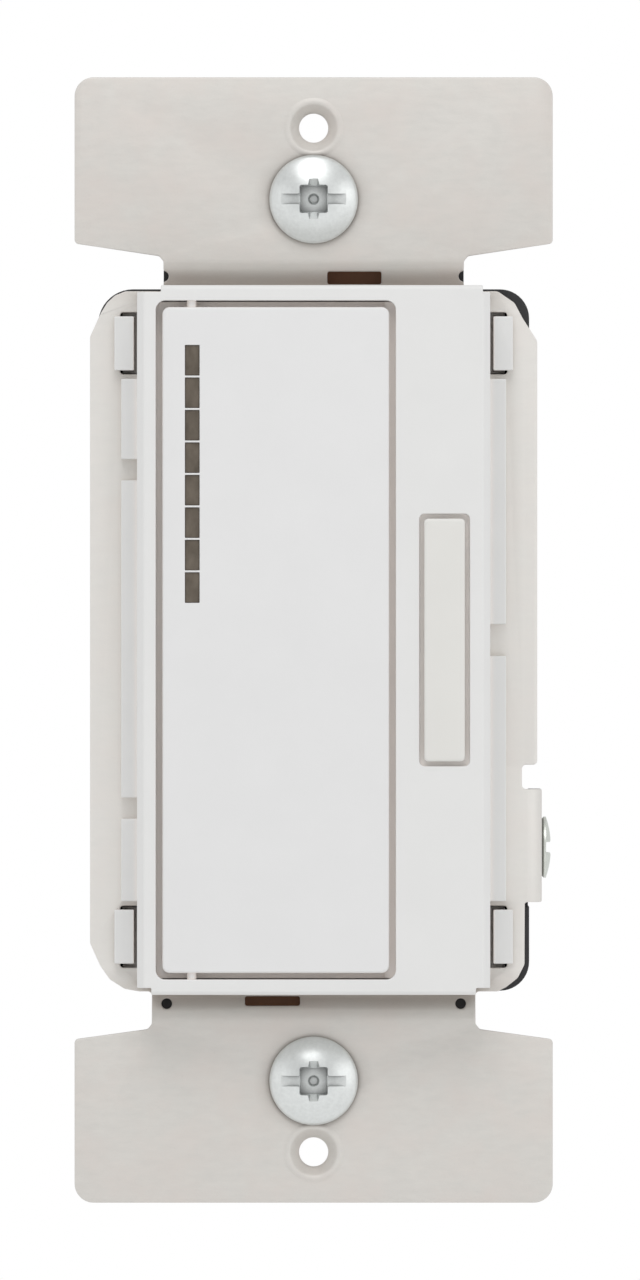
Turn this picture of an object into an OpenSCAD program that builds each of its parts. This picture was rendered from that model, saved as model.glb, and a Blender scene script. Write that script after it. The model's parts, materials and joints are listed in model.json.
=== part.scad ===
// Decorator-style wall dimmer with a large side-hinged paddle, an eight-window
// level indicator and a narrow raise/lower rocker on a metal mounting strap.
// Millimetres. +X is right and +Z is up on the wall; the face looks along -Y.
// The origin is the middle of the device, on the wall side of the strap plates.

/* [Mounting strap] */
// Thickness of the strap metal
strap_t = 1.3; // [1.1:0.1:1.5]
// Half width of the top and bottom plates
plate_half_w = 22.6; // [22.0:0.1:23.0]
// Half length of the strap
strap_half_l = 53.2; // [52.8:0.1:53.6]
// How far the middle of the strap sits behind its plates
step_back = 1.5; // [1.4:0.1:1.6]
// Distance between the two box screws
box_screw_span = 83.34; // [83.0:0.02:83.6]
// Distance between the two tapped wall-plate holes
plate_hole_span = 96.84; // [96.5:0.02:97.0]
// Radius of the tapped wall-plate holes
plate_hole_r = 1.38; // [1.3:0.02:1.5]
// Half width of the strap behind the face
middle_half_w = 21.15; // [21.0:0.05:21.3]
// Half height of the strap behind the face, above its middle
middle_half_l = 33.0; // [32.9:0.1:33.2]

/* [Face] */
// How far the face stands in front of the wall side of the strap
face_height = 7.6; // [7.5:0.1:7.8]
// Half width of the face frame
face_half_w = 16.65; // [16.5:0.05:16.8]
// Half height of the face frame
face_half_l = 33.45; // [33.4:0.05:33.5]
// Thickness of the front wall
face_wall = 1.6; // [1.4:0.1:1.7]
// Bevel along the long outer edges of the face
face_bevel = 0.65; // [0.4:0.05:0.8]

/* [Paddle] */
// Width of the opening for the paddle
opening_w = 22.62; // [22.5:0.02:22.7]
// Height of the opening for the paddle
opening_l = 64.0; // [63.8:0.1:64.0]
// Gap round the paddle
paddle_gap = 0.62; // [0.5:0.02:0.7]
// Distance of the hinge line left of the centre
hinge_x = 11.5; // [11.4:0.1:11.6]
// Radius of the moulded hinge pins
hinge_pin_r = 0.45; // [0.4:0.05:0.5]

/* [Indicator] */
// Number of windows
window_count = 8; // [6:1:8]
// Distance between window centres
window_pitch = 3.06; // [3.0:0.02:3.1]
// Width of a window
window_w = 1.38; // [1.2:0.02:1.5]
// Height of a window
window_l = 2.88; // [2.6:0.02:2.9]
// Height of the lowest window's bottom edge above the centre
window_bottom = 3.5; // [3.3:0.1:3.7]

/* [Rocker] */
// Centre line of the rocker right of the centre
rocker_x = 12.34; // [12.3:0.02:12.4]
// Width of the rocker
rocker_w = 3.86; // [3.8:0.02:4.0]
// Length of the rocker
rocker_l = 22.9; // [22.7:0.1:23.0]
// Gap round the rocker
rocker_gap = 0.44; // [0.2:0.01:0.5]
// How far the rocker stands proud of the face
rocker_proud = 0.45; // [0.3:0.05:0.6]

/* [Housing] */
// Half width of the housing at the strap
housing_half_w = 20.4; // [20.3:0.05:20.45]
// Half height of the housing
housing_half_l = 33.2; // [33.1:0.05:33.3]
// Depth of the housing's shoulders behind the plates
shoulder_y = 24.5; // [24.4:0.1:24.8]
// Depth of the housing's back behind the plates
back_y = 31.0; // [30.6:0.1:31.4]
// Wall thickness of the housing
housing_wall = 1.4; // [1.3:0.05:1.4]

/* [Fasteners] */
// Radius of a box screw's head
box_head_r = 4.2; // [4.0:0.1:4.3]
// Radius of a box screw's thread
box_thread_r = 1.72; // [1.7:0.01:1.75]
// Length of a box screw behind the plates
box_screw_l = 19; // [16:1:24]
// Radius of the terminal and ground screws
terminal_screw_r = 1.75; // [1.7:0.01:1.75]
// Radius of a terminal screw's head
terminal_head_r = 3.6; // [3.4:0.1:3.7]
// Radius of a wire hole
wire_hole_r = 1.3; // [1.2:0.05:1.35]
// Clearance between turning or sliding parts
run_gap = 0.05; // [0.04:0.01:0.06]

/* [Hidden] */
$fn = 48;

// Colours
metal = [0.84, 0.83, 0.81];
zinc = [0.75, 0.77, 0.78];
brass = [0.80, 0.66, 0.34];
white = [0.90, 0.90, 0.90];
warm_white = [0.88, 0.88, 0.86];
smoke = [0.36, 0.32, 0.27];
black = [0.13, 0.13, 0.14];
board_green = [0.10, 0.36, 0.20];
fibre_brown = [0.35, 0.24, 0.16];
copper = [0.72, 0.42, 0.22];

// Depths, from front to back
face_y = -face_height;
wall_back_y = face_y + face_wall;
middle_front_y = step_back - strap_t;
middle_back_y = step_back;
board_t = 1.2;
spacer_t = 0.5;
board_back_y = middle_front_y - spacer_t;
board_front_y = board_back_y - board_t;
insulator_t = 0.4;
power_board_t = 1.6;
power_board_y = shoulder_y - 0.5;
touch = 0.02;
through = 1;

// Strap
bend_z = middle_half_l + 0.75;
middle_bottom_l = 33.25;
bend_slope = strap_t * sqrt(2);
plate_edge_z = [37.5, 36.3];
lower_edge_z = [37.75, 36.8];
neck_half_w = [14.2, 15.3];
ear_z = [-24.8, -14.1];
ear_x = 21.6;
ear_back_y = 11;
below_ear_x = 19.95;
notch_x = 19.7;
notch_top_z = -11.8;
screw_slot_half = 1.2;
screw_slot_r = 2.0;
ground_z = -19.65;
ground_y = 6.3;

// Housing corners, and the lugs behind the corner reliefs of the strap's bends
housing_right_r = 2.75;
housing_left_r = [4, 3.3];
lug_x = 12.4;
lug_z = [32, 35.4];
lug_back_y = 4.5;

// Snap arms and the slots that they pass through
arm_z = [25.5, 30.6];
arm_slot_x = [15.1, 18.3];
arm_slot_z = [25.15, 31.0];
arm_front_y = -0.9;
arm_floor_y = [2.0, 2.9];
arm_floor_reach = [0.3, 0.6];
arm_inner_x = 16.4;
arm_outer_x = [17.0, 18.1, 18.85];
arm_grip_x = 18.75;
arm_grip_z = [26, 29.5];

// Face frame
face_corner = 0.65;
face_top_x = [-14.4, 15.95];
face_bottom_x = [-15.3, 15.3];
cavity_half_w = 15.25;

// Paddle
opening_half_l = opening_l / 2;
opening_x = [-14.88, opening_w - 14.88];
paddle_x = [opening_x[0] + paddle_gap, opening_x[1] - paddle_gap];
paddle_half_l = opening_half_l - paddle_gap;
paddle_t = 1.5;
paddle_back_y = face_y + paddle_t;
paddle_rim_y = face_y + 3.0;
hinge_y = face_y + 0.8;
paddle_press_x = 3;
button_top_y = -5.2;
lip_x = 8.2;
flange_y = [face_y + 2.0, button_top_y];
flange_x = -15.05;
flange_half_l = opening_half_l - 0.1;
push_r = 0.8;

// Rocker
rocker_pivot_y = -5.0;
rocker_pin_r = 0.6;
rocker_back_y = -5.6;
rocker_press_z = 8;
cap_back_y = face_y + 0.1;
tray_y = face_y + 0.7;
tray_half_w = rocker_w / 2 + rocker_gap;
tray_half_l = rocker_l / 2 + rocker_gap;
tray_ledge = 0.5;
stem_inset = [0.45, 0.55];

// Switches on the control board
switch_w = 5;
switch_h = 3;
switch_button_r = 1.5;
switch_bore_h = 2.2;

// Terminals: the wells open sideways and hold a bracket, a clamp and a screw each
well_floor_x = 14.9;
well_y = [11.5, 22.5];
well_half_z = 5;
well_wall = 1.4;
terminal_y = 17;
terminal_z = 14;
load_z = -8;
bracket_t = 1.0;
bracket_x = well_floor_x + bracket_t;
clamp_x = 18.05;
clamp_t = 1.0;
wire_x = (bracket_x + clamp_x) / 2;
wire_offset_z = 3.1;
tab_half_z = 1.5;
tab_y = [19, 20];
tab_x = [12.0, 12.8];
ground_well_x = 14.6;
ground_well_y = 13;

// Components on the two boards
triac_x = 6;
triac_hole_z = 21.5;
triac_lead_x = [3.5, 6, 8.5];
triac_lead_z = 6.9;
lead_r = 0.4;
choke = [3.2, -16.8];
choke_y = [15.9, 22.3];
choke_r = [4.6, 8.2];
choke_turns = 24;
film_x = [-12.5, -5];
film_z = [-4.9, 11.9];
film_front_y = 11.6;
filter_x = 8;
filter_z = -1.4;
filter_r = 4;
varistor_z = 1;
varistor_y = 16.5;
fuse_x = [-8, 2];
fuse_y = 20.2;
fuse_z = 23.2;

// Control header
pin_count = 5;
pin_pitch = 2.54;
pin_w = 0.64;
header_x = -8;
header_z = -25.4;

// Housing
post_x = 9.5;
post_z = 30;
post_r = 2.8;
shoulder_x = 14.6;

// ---- Shared shapes ----

// Box between two opposite corners
module block(low, high) {
    translate(low) cube(high - low);
}

// Sheet whose outline is drawn in X and Z
module sheet(y_front, y_back) {
    translate([0, y_back, 0])
        rotate([90, 0, 0])
            linear_extrude(y_back - y_front) children();
}

// Bar along X whose profile is drawn in Y and Z
module bar_x(x_from, x_to) {
    translate([x_from, 0, 0])
        rotate([90, 0, 90])
            linear_extrude(x_to - x_from) children();
}

module rod_x(y, z, x_from, x_to, r) {
    translate([x_from, y, z]) rotate([0, 90, 0]) cylinder(h = x_to - x_from, r = r);
}

module rod_y(x, z, y_from, y_to, r) {
    translate([x, y_to, z]) rotate([90, 0, 0]) cylinder(h = y_to - y_from, r = r);
}

module rod_z(x, y, z_from, z_to, r) {
    translate([x, y, z_from]) cylinder(h = z_to - z_from, r = r);
}

module rect(x_from, x_to, z_from, z_to) {
    translate([x_from, z_from]) square([x_to - x_from, z_to - z_from]);
}

module round_rect(x_from, x_to, z_from, z_to, r) {
    rect(x_from + r, x_to - r, z_from, z_to);
    rect(x_from, x_to, z_from + r, z_to - r);
    for (x = [x_from + r, x_to - r], z = [z_from + r, z_to - r])
        translate([x, z]) circle(r);
}

// What a rounded outside corner leaves out; side_x and side_z point out of the corner
module corner_waste(x, z, r, side_x, side_z) {
    translate([x, z]) facing(side_x, side_z) difference() {
        translate([-r, -r]) square(r + through);
        translate([-r, -r]) circle(r);
        translate([-2 * r - through, -2 * r - through]) square([r + through, 3 * r + 2 * through]);
        translate([-2 * r - through, -2 * r - through]) square([3 * r + 2 * through, r + through]);
    }
}

// Turns a shape drawn for the upper right corner toward another corner
module facing(side_x, side_z) {
    mirror([side_x < 0 ? 1 : 0, 0]) mirror([0, side_z < 0 ? 1 : 0]) children();
}

// Both a shape and its mirror image left to right
module both_sides() {
    children();
    mirror([1, 0, 0]) children();
}

// Both a shape and its mirror image top to bottom
module both_ends() {
    children();
    mirror([0, 0, 1]) children();
}

// Window for the pins between the two boards
module pin_window() {
    round_rect(header_x - 2.2, header_x + 2.2, header_z - 1.6, header_z + 11.8, 0.8);
}

// ---- Mounting strap ----

// edge_z holds the inner edge's height at the plate's side and at the neck
module plate_outline(edge_z, neck) {
    difference() {
        polygon([
            [-plate_half_w, edge_z[0]], [-plate_half_w, strap_half_l],
            [plate_half_w, strap_half_l], [plate_half_w, edge_z[0]],
            [neck + 0.4, edge_z[1]], [neck, edge_z[1] - 0.5], [neck, bend_z + step_back],
            [-neck, bend_z + step_back], [-neck, edge_z[1] - 0.5], [-neck - 0.4, edge_z[1]]
        ]);
        for (side = [-1, 1])
            corner_waste(side * plate_half_w, strap_half_l, 1.8, side, 1);
    }
}

// The double bend that carries the neck from the plate back to the middle
module bend_profile() {
    polygon([
        [middle_front_y, middle_half_l - 0.5], [middle_front_y, bend_z],
        [-strap_t, bend_z + step_back], [-strap_t, bend_z + step_back + 0.6],
        [0, bend_z + step_back + 0.6], [0, bend_z + middle_front_y + bend_slope],
        [middle_back_y, bend_z + middle_front_y + bend_slope - step_back],
        [middle_back_y, middle_half_l - 0.5]
    ]);
}

module strap_end(edge_z, neck) {
    difference() {
        union() {
            sheet(-strap_t, 0) plate_outline(edge_z, neck);
            bar_x(-neck, neck) bend_profile();
            // Raised rim and extruded collar of the tapped hole
            rod_y(0, plate_hole_span / 2, -strap_t - 0.15, 0.9, 2.25);
        }
        rod_y(0, plate_hole_span / 2, -strap_t - through, through + 0.9, plate_hole_r);
        // Slot for the box screw
        translate([0, 0, box_screw_span / 2])
            sheet(-strap_t - through, through)
                round_rect(-screw_slot_half - screw_slot_r, screw_slot_half + screw_slot_r,
                    -screw_slot_r, screw_slot_r, screw_slot_r - 0.01);
    }
}

module middle_outline() {
    difference() {
        polygon([
            [-17.8, middle_half_l], [17.4, middle_half_l], [19.0, 31.9], [19.8, 30.4],
            [middle_half_w, 28.3], [middle_half_w, ear_z[1]], [below_ear_x, ear_z[1]],
            [below_ear_x, -30.7], [19.3, -31.98], [18.2, -32.85], [17.4, -middle_bottom_l],
            [-16.5, -middle_bottom_l], [-17.9, -33.0], [-19.3, -32.1], [-20.2, -30.8],
            [-middle_half_w, -28.7], [-middle_half_w, 28.7], [-20.15, 30.9], [-19.55, 31.9],
            [-18.8, 32.6]
        ]);
        round_rect(notch_x, ear_x + through, ear_z[1], notch_top_z, 0.6);
        // Slots for the snap arms
        for (side = [-1, 1], end = [-1, 1])
            rect(
                min(side * arm_slot_x[0], side * arm_slot_x[1]),
                max(side * arm_slot_x[0], side * arm_slot_x[1]),
                min(end * arm_slot_z[0], end * arm_slot_z[1]),
                max(end * arm_slot_z[0], end * arm_slot_z[1])
            );
        pin_window();
    }
}

// Tab bent back from the lower right edge, tapped for the ground screw
module ground_ear() {
    difference() {
        block([notch_x - 0.5, middle_front_y, ear_z[0]], [ear_x, ear_back_y, ear_z[1]]);
        block([notch_x - through, middle_back_y, ear_z[0] - through],
            [ear_x - strap_t, ear_back_y + through, ear_z[1] + through]);
        // Outer radius of the bend
        difference() {
            block([ear_x - strap_t, middle_front_y - through, ear_z[0] - through],
                [ear_x + through, middle_front_y + strap_t, ear_z[1] + through]);
            rod_z(ear_x - strap_t, middle_front_y + strap_t, ear_z[0] - 2, ear_z[1] + 2, strap_t);
        }
        rod_x(ground_y, ground_z, ear_x - 2 * strap_t, ear_x + through, terminal_screw_r + run_gap);
    }
}

module mounting_strap() {
    color(metal) difference() {
        union() {
            strap_end(plate_edge_z, neck_half_w[0]);
            mirror([0, 0, 1]) strap_end(lower_edge_z, neck_half_w[1]);
            sheet(middle_front_y, middle_back_y) middle_outline();
            ground_ear();
        }
        // Slots and corner reliefs in the bends
        block([1.3, -3, bend_z - 0.1], [6.4, 3, bend_z + 1.1]);
        block([-6.5, -3, -bend_z - 0.85], [-1.3, 3, -bend_z + 0.05]);
        for (side = [-1, 1]) {
            rod_y(side * neck_half_w[0], bend_z + 0.65, -3, 3, 0.6);
            rod_y(side * 13.9, -bend_z - 0.65, -3, 3, 0.6);
        }
        // Tapped holes for the triac's screw and the housing's screws
        rod_y(triac_x, triac_hole_z, -3, 3, 1.5);
        both_ends() both_sides() rod_y(post_x, post_z, -3, 3, 1.25);
    }
}

// ---- Face ----

module face_outline() {
    rect(-face_half_w, face_half_w, -face_half_l + face_corner, face_half_l - face_corner);
    rect(face_top_x[0], face_top_x[1], 0, face_half_l);
    rect(face_bottom_x[0], face_bottom_x[1], -face_half_l, 0);
}

// U-shaped arm that goes back through a strap slot and comes forward to grip its edge
module snap_arm() {
    block([cavity_half_w, middle_front_y, arm_z[0]], [arm_inner_x, arm_floor_y[1], arm_z[1]]);
    block([cavity_half_w, arm_floor_y[0], arm_z[0] - arm_floor_reach[0]],
        [arm_outer_x[1], arm_floor_y[1], arm_z[1] + arm_floor_reach[1]]);
    block([arm_outer_x[0], arm_front_y, arm_z[0]], [arm_outer_x[1], arm_floor_y[1], arm_z[1]]);
    block([arm_outer_x[1], arm_front_y, arm_z[0]],
        [arm_outer_x[2], middle_front_y - touch, arm_z[1]]);
    block([arm_outer_x[1], middle_back_y + run_gap, arm_grip_z[0]],
        [arm_grip_x, arm_floor_y[0] + 0.4, arm_grip_z[1]]);
}

module face_bevels() {
    for (side = [-1, 1])
        translate([side * face_half_w, face_y, 0])
            rotate([0, 0, 45])
                cube([face_bevel * sqrt(2), face_bevel * sqrt(2), 3 * face_half_l], center = true);
    both_ends()
        translate([0, face_y, face_half_l])
            rotate([45, 0, 0]) cube([3 * face_half_w, 0.42, 0.42], center = true);
}

module rocker_lugs() {
    block([8.75, wall_back_y, -1.5], [9.75, -3.9, 1.5]);
    block([14.95, wall_back_y, -1.5], [15.3, -3.9, 1.5]);
}

module board_supports() {
    for (z = [-28, -18, 18, 28])
        rod_y(rocker_x, z, wall_back_y - 0.1, board_front_y, 1.3);
    for (z = [-26, -12, 12, 26])
        block([-15.3, -3.6, z - 2], [-14.6, board_front_y, z + 2]);
}

module face_frame() {
    color(white) difference() {
        union() {
            difference() {
                sheet(face_y, middle_front_y) face_outline();
                sheet(wall_back_y, middle_front_y + through)
                    rect(-cavity_half_w, cavity_half_w, -opening_half_l, opening_half_l);
            }
            rocker_lugs();
            board_supports();
            both_ends() both_sides() snap_arm();
            // Base flanges along both sides
            both_sides() block([face_half_w - 0.2, arm_front_y, -24.7], [18.2, middle_front_y, 24.7]);
        }
        sheet(face_y - through, wall_back_y + 0.1)
            round_rect(opening_x[0], opening_x[1], -opening_half_l, opening_half_l, 0.9);
        // Tray that the rocker's cap lies in, and the hole for its stem
        sheet(face_y - through, tray_y) rocker_rect(tray_half_w, tray_half_l, 0.5);
        sheet(tray_y - 0.1, wall_back_y + 0.1)
            rocker_rect(tray_half_w - tray_ledge, tray_half_l - tray_ledge, 0.3);
        face_bevels();
        // Bearings of the paddle and of the rocker
        both_ends() rod_z(-hinge_x, hinge_y, opening_half_l - 0.5, opening_half_l + 0.95, hinge_pin_r + run_gap);
        rod_x(rocker_pivot_y, 0, 8.5, 9.9, rocker_pin_r + run_gap);
        rod_x(rocker_pivot_y, 0, 14.8, 15.8, rocker_pin_r + run_gap);
        // Notches in the base flanges
        block([face_half_w, -2, -1.5], [19, 1, 1.5]);
        for (z = [16.1, -15.9])
            block([-19, -2, z - 1], [-face_half_w, 1, z + 1]);
    }
}

// ---- Paddle and its indicator ----

function window_z(i) = window_bottom + window_l / 2 + i * window_pitch;

module paddle() {
    color(white) difference() {
        union() {
            sheet(face_y, paddle_back_y)
                round_rect(paddle_x[0], paddle_x[1], -paddle_half_l, paddle_half_l, 0.7);
            // Rim and ribs behind the plate
            difference() {
                sheet(paddle_back_y, paddle_rim_y)
                    round_rect(paddle_x[0], paddle_x[1], -paddle_half_l, paddle_half_l, 0.7);
                sheet(paddle_back_y - 0.1, paddle_rim_y + 0.1)
                    rect(paddle_x[0] + 1.1, paddle_x[1] - 1.1, -paddle_half_l + 1.1, paddle_half_l - 1.1);
            }
            for (z = [-20, -10, 10, 20])
                block([-8.5, paddle_back_y - 0.1, z - 0.5], [paddle_x[1] - 1, paddle_back_y + 1.1, z + 0.5]);
            // Pusher over the paddle switch
            rod_z(paddle_press_x, button_top_y - 0.03 - push_r, -1.6, 1.6, push_r);
            block([paddle_press_x - 0.6, paddle_back_y - 0.1, -1.6],
                [paddle_press_x + 0.6, button_top_y - 0.3, 1.6]);
            // Lip that stops the paddle from lifting out
            block([paddle_x[1] - 0.5, wall_back_y + run_gap, -flange_half_l],
                [lip_x, flange_y[1], flange_half_l]);
            // Flange that closes the gap round the paddle from behind
            block([flange_x, flange_y[0], -flange_half_l], [paddle_x[0] + 0.5, flange_y[1], flange_half_l]);
            both_ends() block([flange_x, flange_y[0], paddle_half_l - 0.5],
                [paddle_x[1], flange_y[1], flange_half_l]);
            both_ends() rod_z(-hinge_x, hinge_y, paddle_half_l - 0.5, opening_half_l + 0.85, hinge_pin_r);
        }
        for (i = [0 : window_count - 1])
            block([-hinge_x + 0.06 - window_w / 2, face_y - 1, window_z(i) - window_l / 2],
                [-hinge_x + 0.06 + window_w / 2, paddle_back_y + 1, window_z(i) + window_l / 2]);
    }
}

module indicator_lens() {
    fit = 0.02;
    color(smoke) {
        block([-13.1, paddle_back_y + touch, window_bottom - 1], [-9.8, paddle_back_y + 0.8, 28.6]);
        for (i = [0 : window_count - 1])
            block([-hinge_x + 0.06 - window_w / 2 + fit, face_y + 0.15, window_z(i) - window_l / 2 + fit],
                [-hinge_x + 0.06 + window_w / 2 - fit, paddle_back_y + 0.1, window_z(i) + window_l / 2 - fit]);
    }
}

// ---- Rocker ----

module rocker_rect(half_w, half_l, r) {
    round_rect(rocker_x - half_w, rocker_x + half_w, -half_l, half_l, r);
}

// A cap that lies in the face's tray, on a narrower stem with a pin through it
module rocker() {
    half_w = rocker_w / 2;
    half_l = rocker_l / 2;
    color(warm_white) {
        sheet(face_y - rocker_proud, cap_back_y) rocker_rect(half_w, half_l, 0.35);
        sheet(cap_back_y - 0.1, rocker_back_y)
            rocker_rect(half_w - stem_inset[0], half_l - stem_inset[1], 0.3);
        block([rocker_x - half_w + 0.3, rocker_back_y - 0.1, -1.3],
            [rocker_x + half_w - 0.3, -4.3, 1.3]);
        rod_x(rocker_pivot_y, 0, 9.0, rocker_x, rocker_pin_r);
        rod_x(rocker_pivot_y, 0, rocker_x, 15.7, rocker_pin_r);
        both_ends()
            rod_x(button_top_y - 0.03 - 0.7, rocker_press_z, rocker_x - 1, rocker_x + 1, 0.7);
    }
}

// ---- Control board ----

module pin_holes(y_from, y_to) {
    for (i = [0 : pin_count - 1])
        rod_y(header_x, header_z + i * pin_pitch, y_from, y_to, 0.5);
}

module control_board() {
    color(board_green) difference() {
        sheet(board_front_y, board_back_y) rect(-15, 15, -31.5, 31.5);
        pin_holes(board_front_y - through, board_back_y + through);
    }
}

module indicator_leds() {
    color([0.95, 0.93, 0.80])
        for (i = [0 : window_count - 1])
            block([-hinge_x - 0.6, board_front_y - 0.6, window_z(i) - 0.8],
                [-hinge_x + 0.6, board_front_y, window_z(i) + 0.8]);
}

// Comb that keeps each lamp's light under its own window
module light_baffle() {
    color(white) difference() {
        block([-13.2, -3.9, window_bottom - 0.6], [-9.8, board_front_y, 28.4]);
        for (i = [0 : window_count - 1])
            block([-hinge_x - 1, -5, window_z(i) - 1.15],
                [-hinge_x + 1, board_front_y + through, window_z(i) + 1.15]);
    }
}

module microcontroller() {
    color(black) block([-6, board_front_y - 0.9, -18.5], [1, board_front_y, -11.5]);
}

module switch_body(x, z) {
    color(black) difference() {
        block([x - switch_w / 2, board_front_y - switch_h, z - switch_w / 2],
            [x + switch_w / 2, board_front_y, z + switch_w / 2]);
        rod_y(x, z, board_front_y - switch_h - through, board_front_y - switch_h + switch_bore_h,
            switch_button_r + run_gap);
    }
}

module switch_button(x, z) {
    color([0.25, 0.25, 0.27])
        rod_y(x, z, button_top_y, board_front_y - switch_h + switch_bore_h - 0.7, switch_button_r);
}

module paddle_switch_body() { switch_body(paddle_press_x, 0); }
module raise_switch_body() { switch_body(rocker_x, rocker_press_z); }
module lower_switch_body() { switch_body(rocker_x, -rocker_press_z); }
module paddle_switch_button() { switch_button(paddle_press_x, 0); }
module raise_switch_button() { switch_button(rocker_x, rocker_press_z); }
module lower_switch_button() { switch_button(rocker_x, -rocker_press_z); }

// ---- Sheets and the pins between the boards ----

module board_spacer_sheet() {
    color([0.86, 0.84, 0.76]) sheet(board_back_y, middle_front_y) difference() {
        rect(-14.6, 14.6, -31.2, 31.2);
        pin_window();
        translate([triac_x, triac_hole_z]) circle(2.2);
        for (x = [-post_x, post_x], z = [-post_z, post_z])
            translate([x, z]) circle(1.0);
    }
}

// Its two tongues close the slots in the strap's bends from behind
module strap_insulator() {
    color(fibre_brown) sheet(middle_back_y, middle_back_y + insulator_t) difference() {
        union() {
            rect(-14.2, ground_well_x - well_wall - 0.1, -31.2, 31.2);
            rect(0.6, 7.1, 30, 35.4);
            rect(-7.2, -0.6, -35.2, -30);
        }
        pin_window();
        rect(0.3, 11.7, 8.3, 25.3);
        for (x = [-post_x, post_x], z = [-post_z, post_z])
            translate([x, z]) circle(post_r + 0.1);
    }
}

module header_block() {
    color(black) difference() {
        block([header_x - 1.25, board_back_y, header_z - 1.2],
            [header_x + 1.25, board_back_y + 8.5, header_z + 4 * pin_pitch + 1.2]);
        pin_holes(board_back_y - through, board_back_y + 10);
    }
}

module header_pins() {
    color(brass)
        for (i = [0 : pin_count - 1])
            translate([header_x, 0, header_z + i * pin_pitch])
                block([-pin_w / 2, board_front_y - 0.6, -pin_w / 2],
                    [pin_w / 2, power_board_y + power_board_t + 0.8, pin_w / 2]);
}

// ---- Power board and what is on it ----

module power_board() {
    color([0.72, 0.62, 0.40]) difference() {
        sheet(power_board_y, power_board_y + power_board_t) rect(-12.8, 12.8, -26.9, 26.9);
        pin_holes(power_board_y - through, power_board_y + power_board_t + through);
        for (x = triac_lead_x)
            rod_y(x, triac_lead_z, power_board_y - through, power_board_y + power_board_t + through, 0.6);
    }
}

module thermal_pad() {
    color([0.62, 0.66, 0.70]) difference() {
        block([0.6, middle_back_y, 8.6], [11.4, middle_back_y + 0.3, 25.0]);
        rod_y(triac_x, triac_hole_z, 0, 4, 1.6);
    }
}

module triac_tab() {
    color(zinc) difference() {
        block([1, middle_back_y + 0.3, 9], [11, middle_back_y + 1.6, 24.6]);
        rod_y(triac_x, triac_hole_z, 0, 5, 1.75);
    }
}

module triac_body() {
    color(black) block([1, middle_back_y + 1.6, 9], [11, middle_back_y + 4.9, 18]);
}

module triac_leads() {
    color(zinc)
        for (x = triac_lead_x) {
            block([x - lead_r, 4.4, triac_lead_z - 0.25], [x + lead_r, 4.9, 9]);
            block([x - lead_r, 4.4, triac_lead_z - 0.25],
                [x + lead_r, power_board_y + power_board_t + 0.7, triac_lead_z + 0.25]);
        }
}

module triac_screw() {
    color(zinc) difference() {
        union() {
            rod_y(triac_x, triac_hole_z, middle_front_y + 0.1, 3.2, 1.45);
            rod_y(triac_x, triac_hole_z, middle_back_y + 1.62, 5.0, 2.7);
        }
        // Cross recess
        block([triac_x - 0.4, 4.2, triac_hole_z - 1.6], [triac_x + 0.4, 6, triac_hole_z + 1.6]);
        block([triac_x - 1.6, 4.2, triac_hole_z - 0.4], [triac_x + 1.6, 6, triac_hole_z + 0.4]);
    }
}

module choke_core() {
    color([0.30, 0.32, 0.30])
        difference() {
            rod_y(choke[0], choke[1], choke_y[0], choke_y[1], choke_r[1]);
            rod_y(choke[0], choke[1], 0, 30, choke_r[0]);
        }
}

// Each turn is a closed loop round the core
module choke_winding() {
    section = [choke_r[1] - choke_r[0], choke_y[1] - choke_y[0]];
    color(copper)
        translate([choke[0], (choke_y[0] + choke_y[1]) / 2, choke[1]])
            rotate([90, 0, 0])
                for (i = [0 : choke_turns - 1])
                    rotate([0, 0, 15 + 330 * i / (choke_turns - 1)])
                        translate([(choke_r[0] + choke_r[1]) / 2, 0, 0])
                            rotate([90, 0, 0]) winding_turn(section[0] + 0.1, section[1] + 0.1, 0.8);
}

module winding_turn(w, h, wire) {
    translate([0, 0, -wire * 0.3]) linear_extrude(wire * 0.6) difference() {
        square([w + 2 * wire, h + 2 * wire], center = true);
        square([w, h], center = true);
    }
}

module film_capacitor() {
    color([0.86, 0.70, 0.20])
        block([film_x[0], film_front_y, film_z[0]], [film_x[1], power_board_y, film_z[1]]);
}

module filter_capacitor() {
    color([0.16, 0.20, 0.34]) difference() {
        rod_y(filter_x, filter_z, 11.5, power_board_y, filter_r);
        rod_y(filter_x, filter_z, 11, 11.8, filter_r - 0.8);
    }
}

module surge_varistor() {
    color([0.20, 0.36, 0.62]) {
        rod_x(varistor_y, varistor_z, -2.2, 1.4, 5);
        for (z = [varistor_z - 2.5, varistor_z + 2.5])
            rod_y(-0.4, z, 20, power_board_y, lead_r);
    }
}

module fuse_link() {
    color([0.82, 0.80, 0.72]) {
        rod_x(fuse_y, fuse_z, fuse_x[0], fuse_x[1], 2.4);
        for (x = [fuse_x[0] + 0.8, fuse_x[1] - 0.8])
            rod_y(x, fuse_z, fuse_y, power_board_y, lead_r);
    }
}

// ---- Housing ----

// The small lugs stand behind the corner reliefs of the strap's bends
module housing_outer() {
    both_sides() {
        block([lug_x, middle_back_y + 0.1, lug_z[0]], [neck_half_w[0], lug_back_y, lug_z[1]]);
        mirror([0, 0, 1])
            block([lug_x, middle_back_y + 0.1, lug_z[0]], [neck_half_w[1] - 0.2, lug_back_y, lug_z[1]]);
    }
    sheet(middle_back_y, shoulder_y) difference() {
        rect(-housing_half_w, housing_half_w, -housing_half_l, housing_half_l);
        for (end = [-1, 1])
            corner_waste(housing_half_w, end * housing_half_l, housing_right_r, 1, end);
        corner_waste(-housing_half_w, housing_half_l, housing_left_r[1], -1, 1);
        corner_waste(-housing_half_w, -housing_half_l, housing_left_r[0], -1, -1);
    }
    sheet(shoulder_y - 0.5, back_y)
        round_rect(-shoulder_x, shoulder_x, -housing_half_l, housing_half_l, 3);
}

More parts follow.
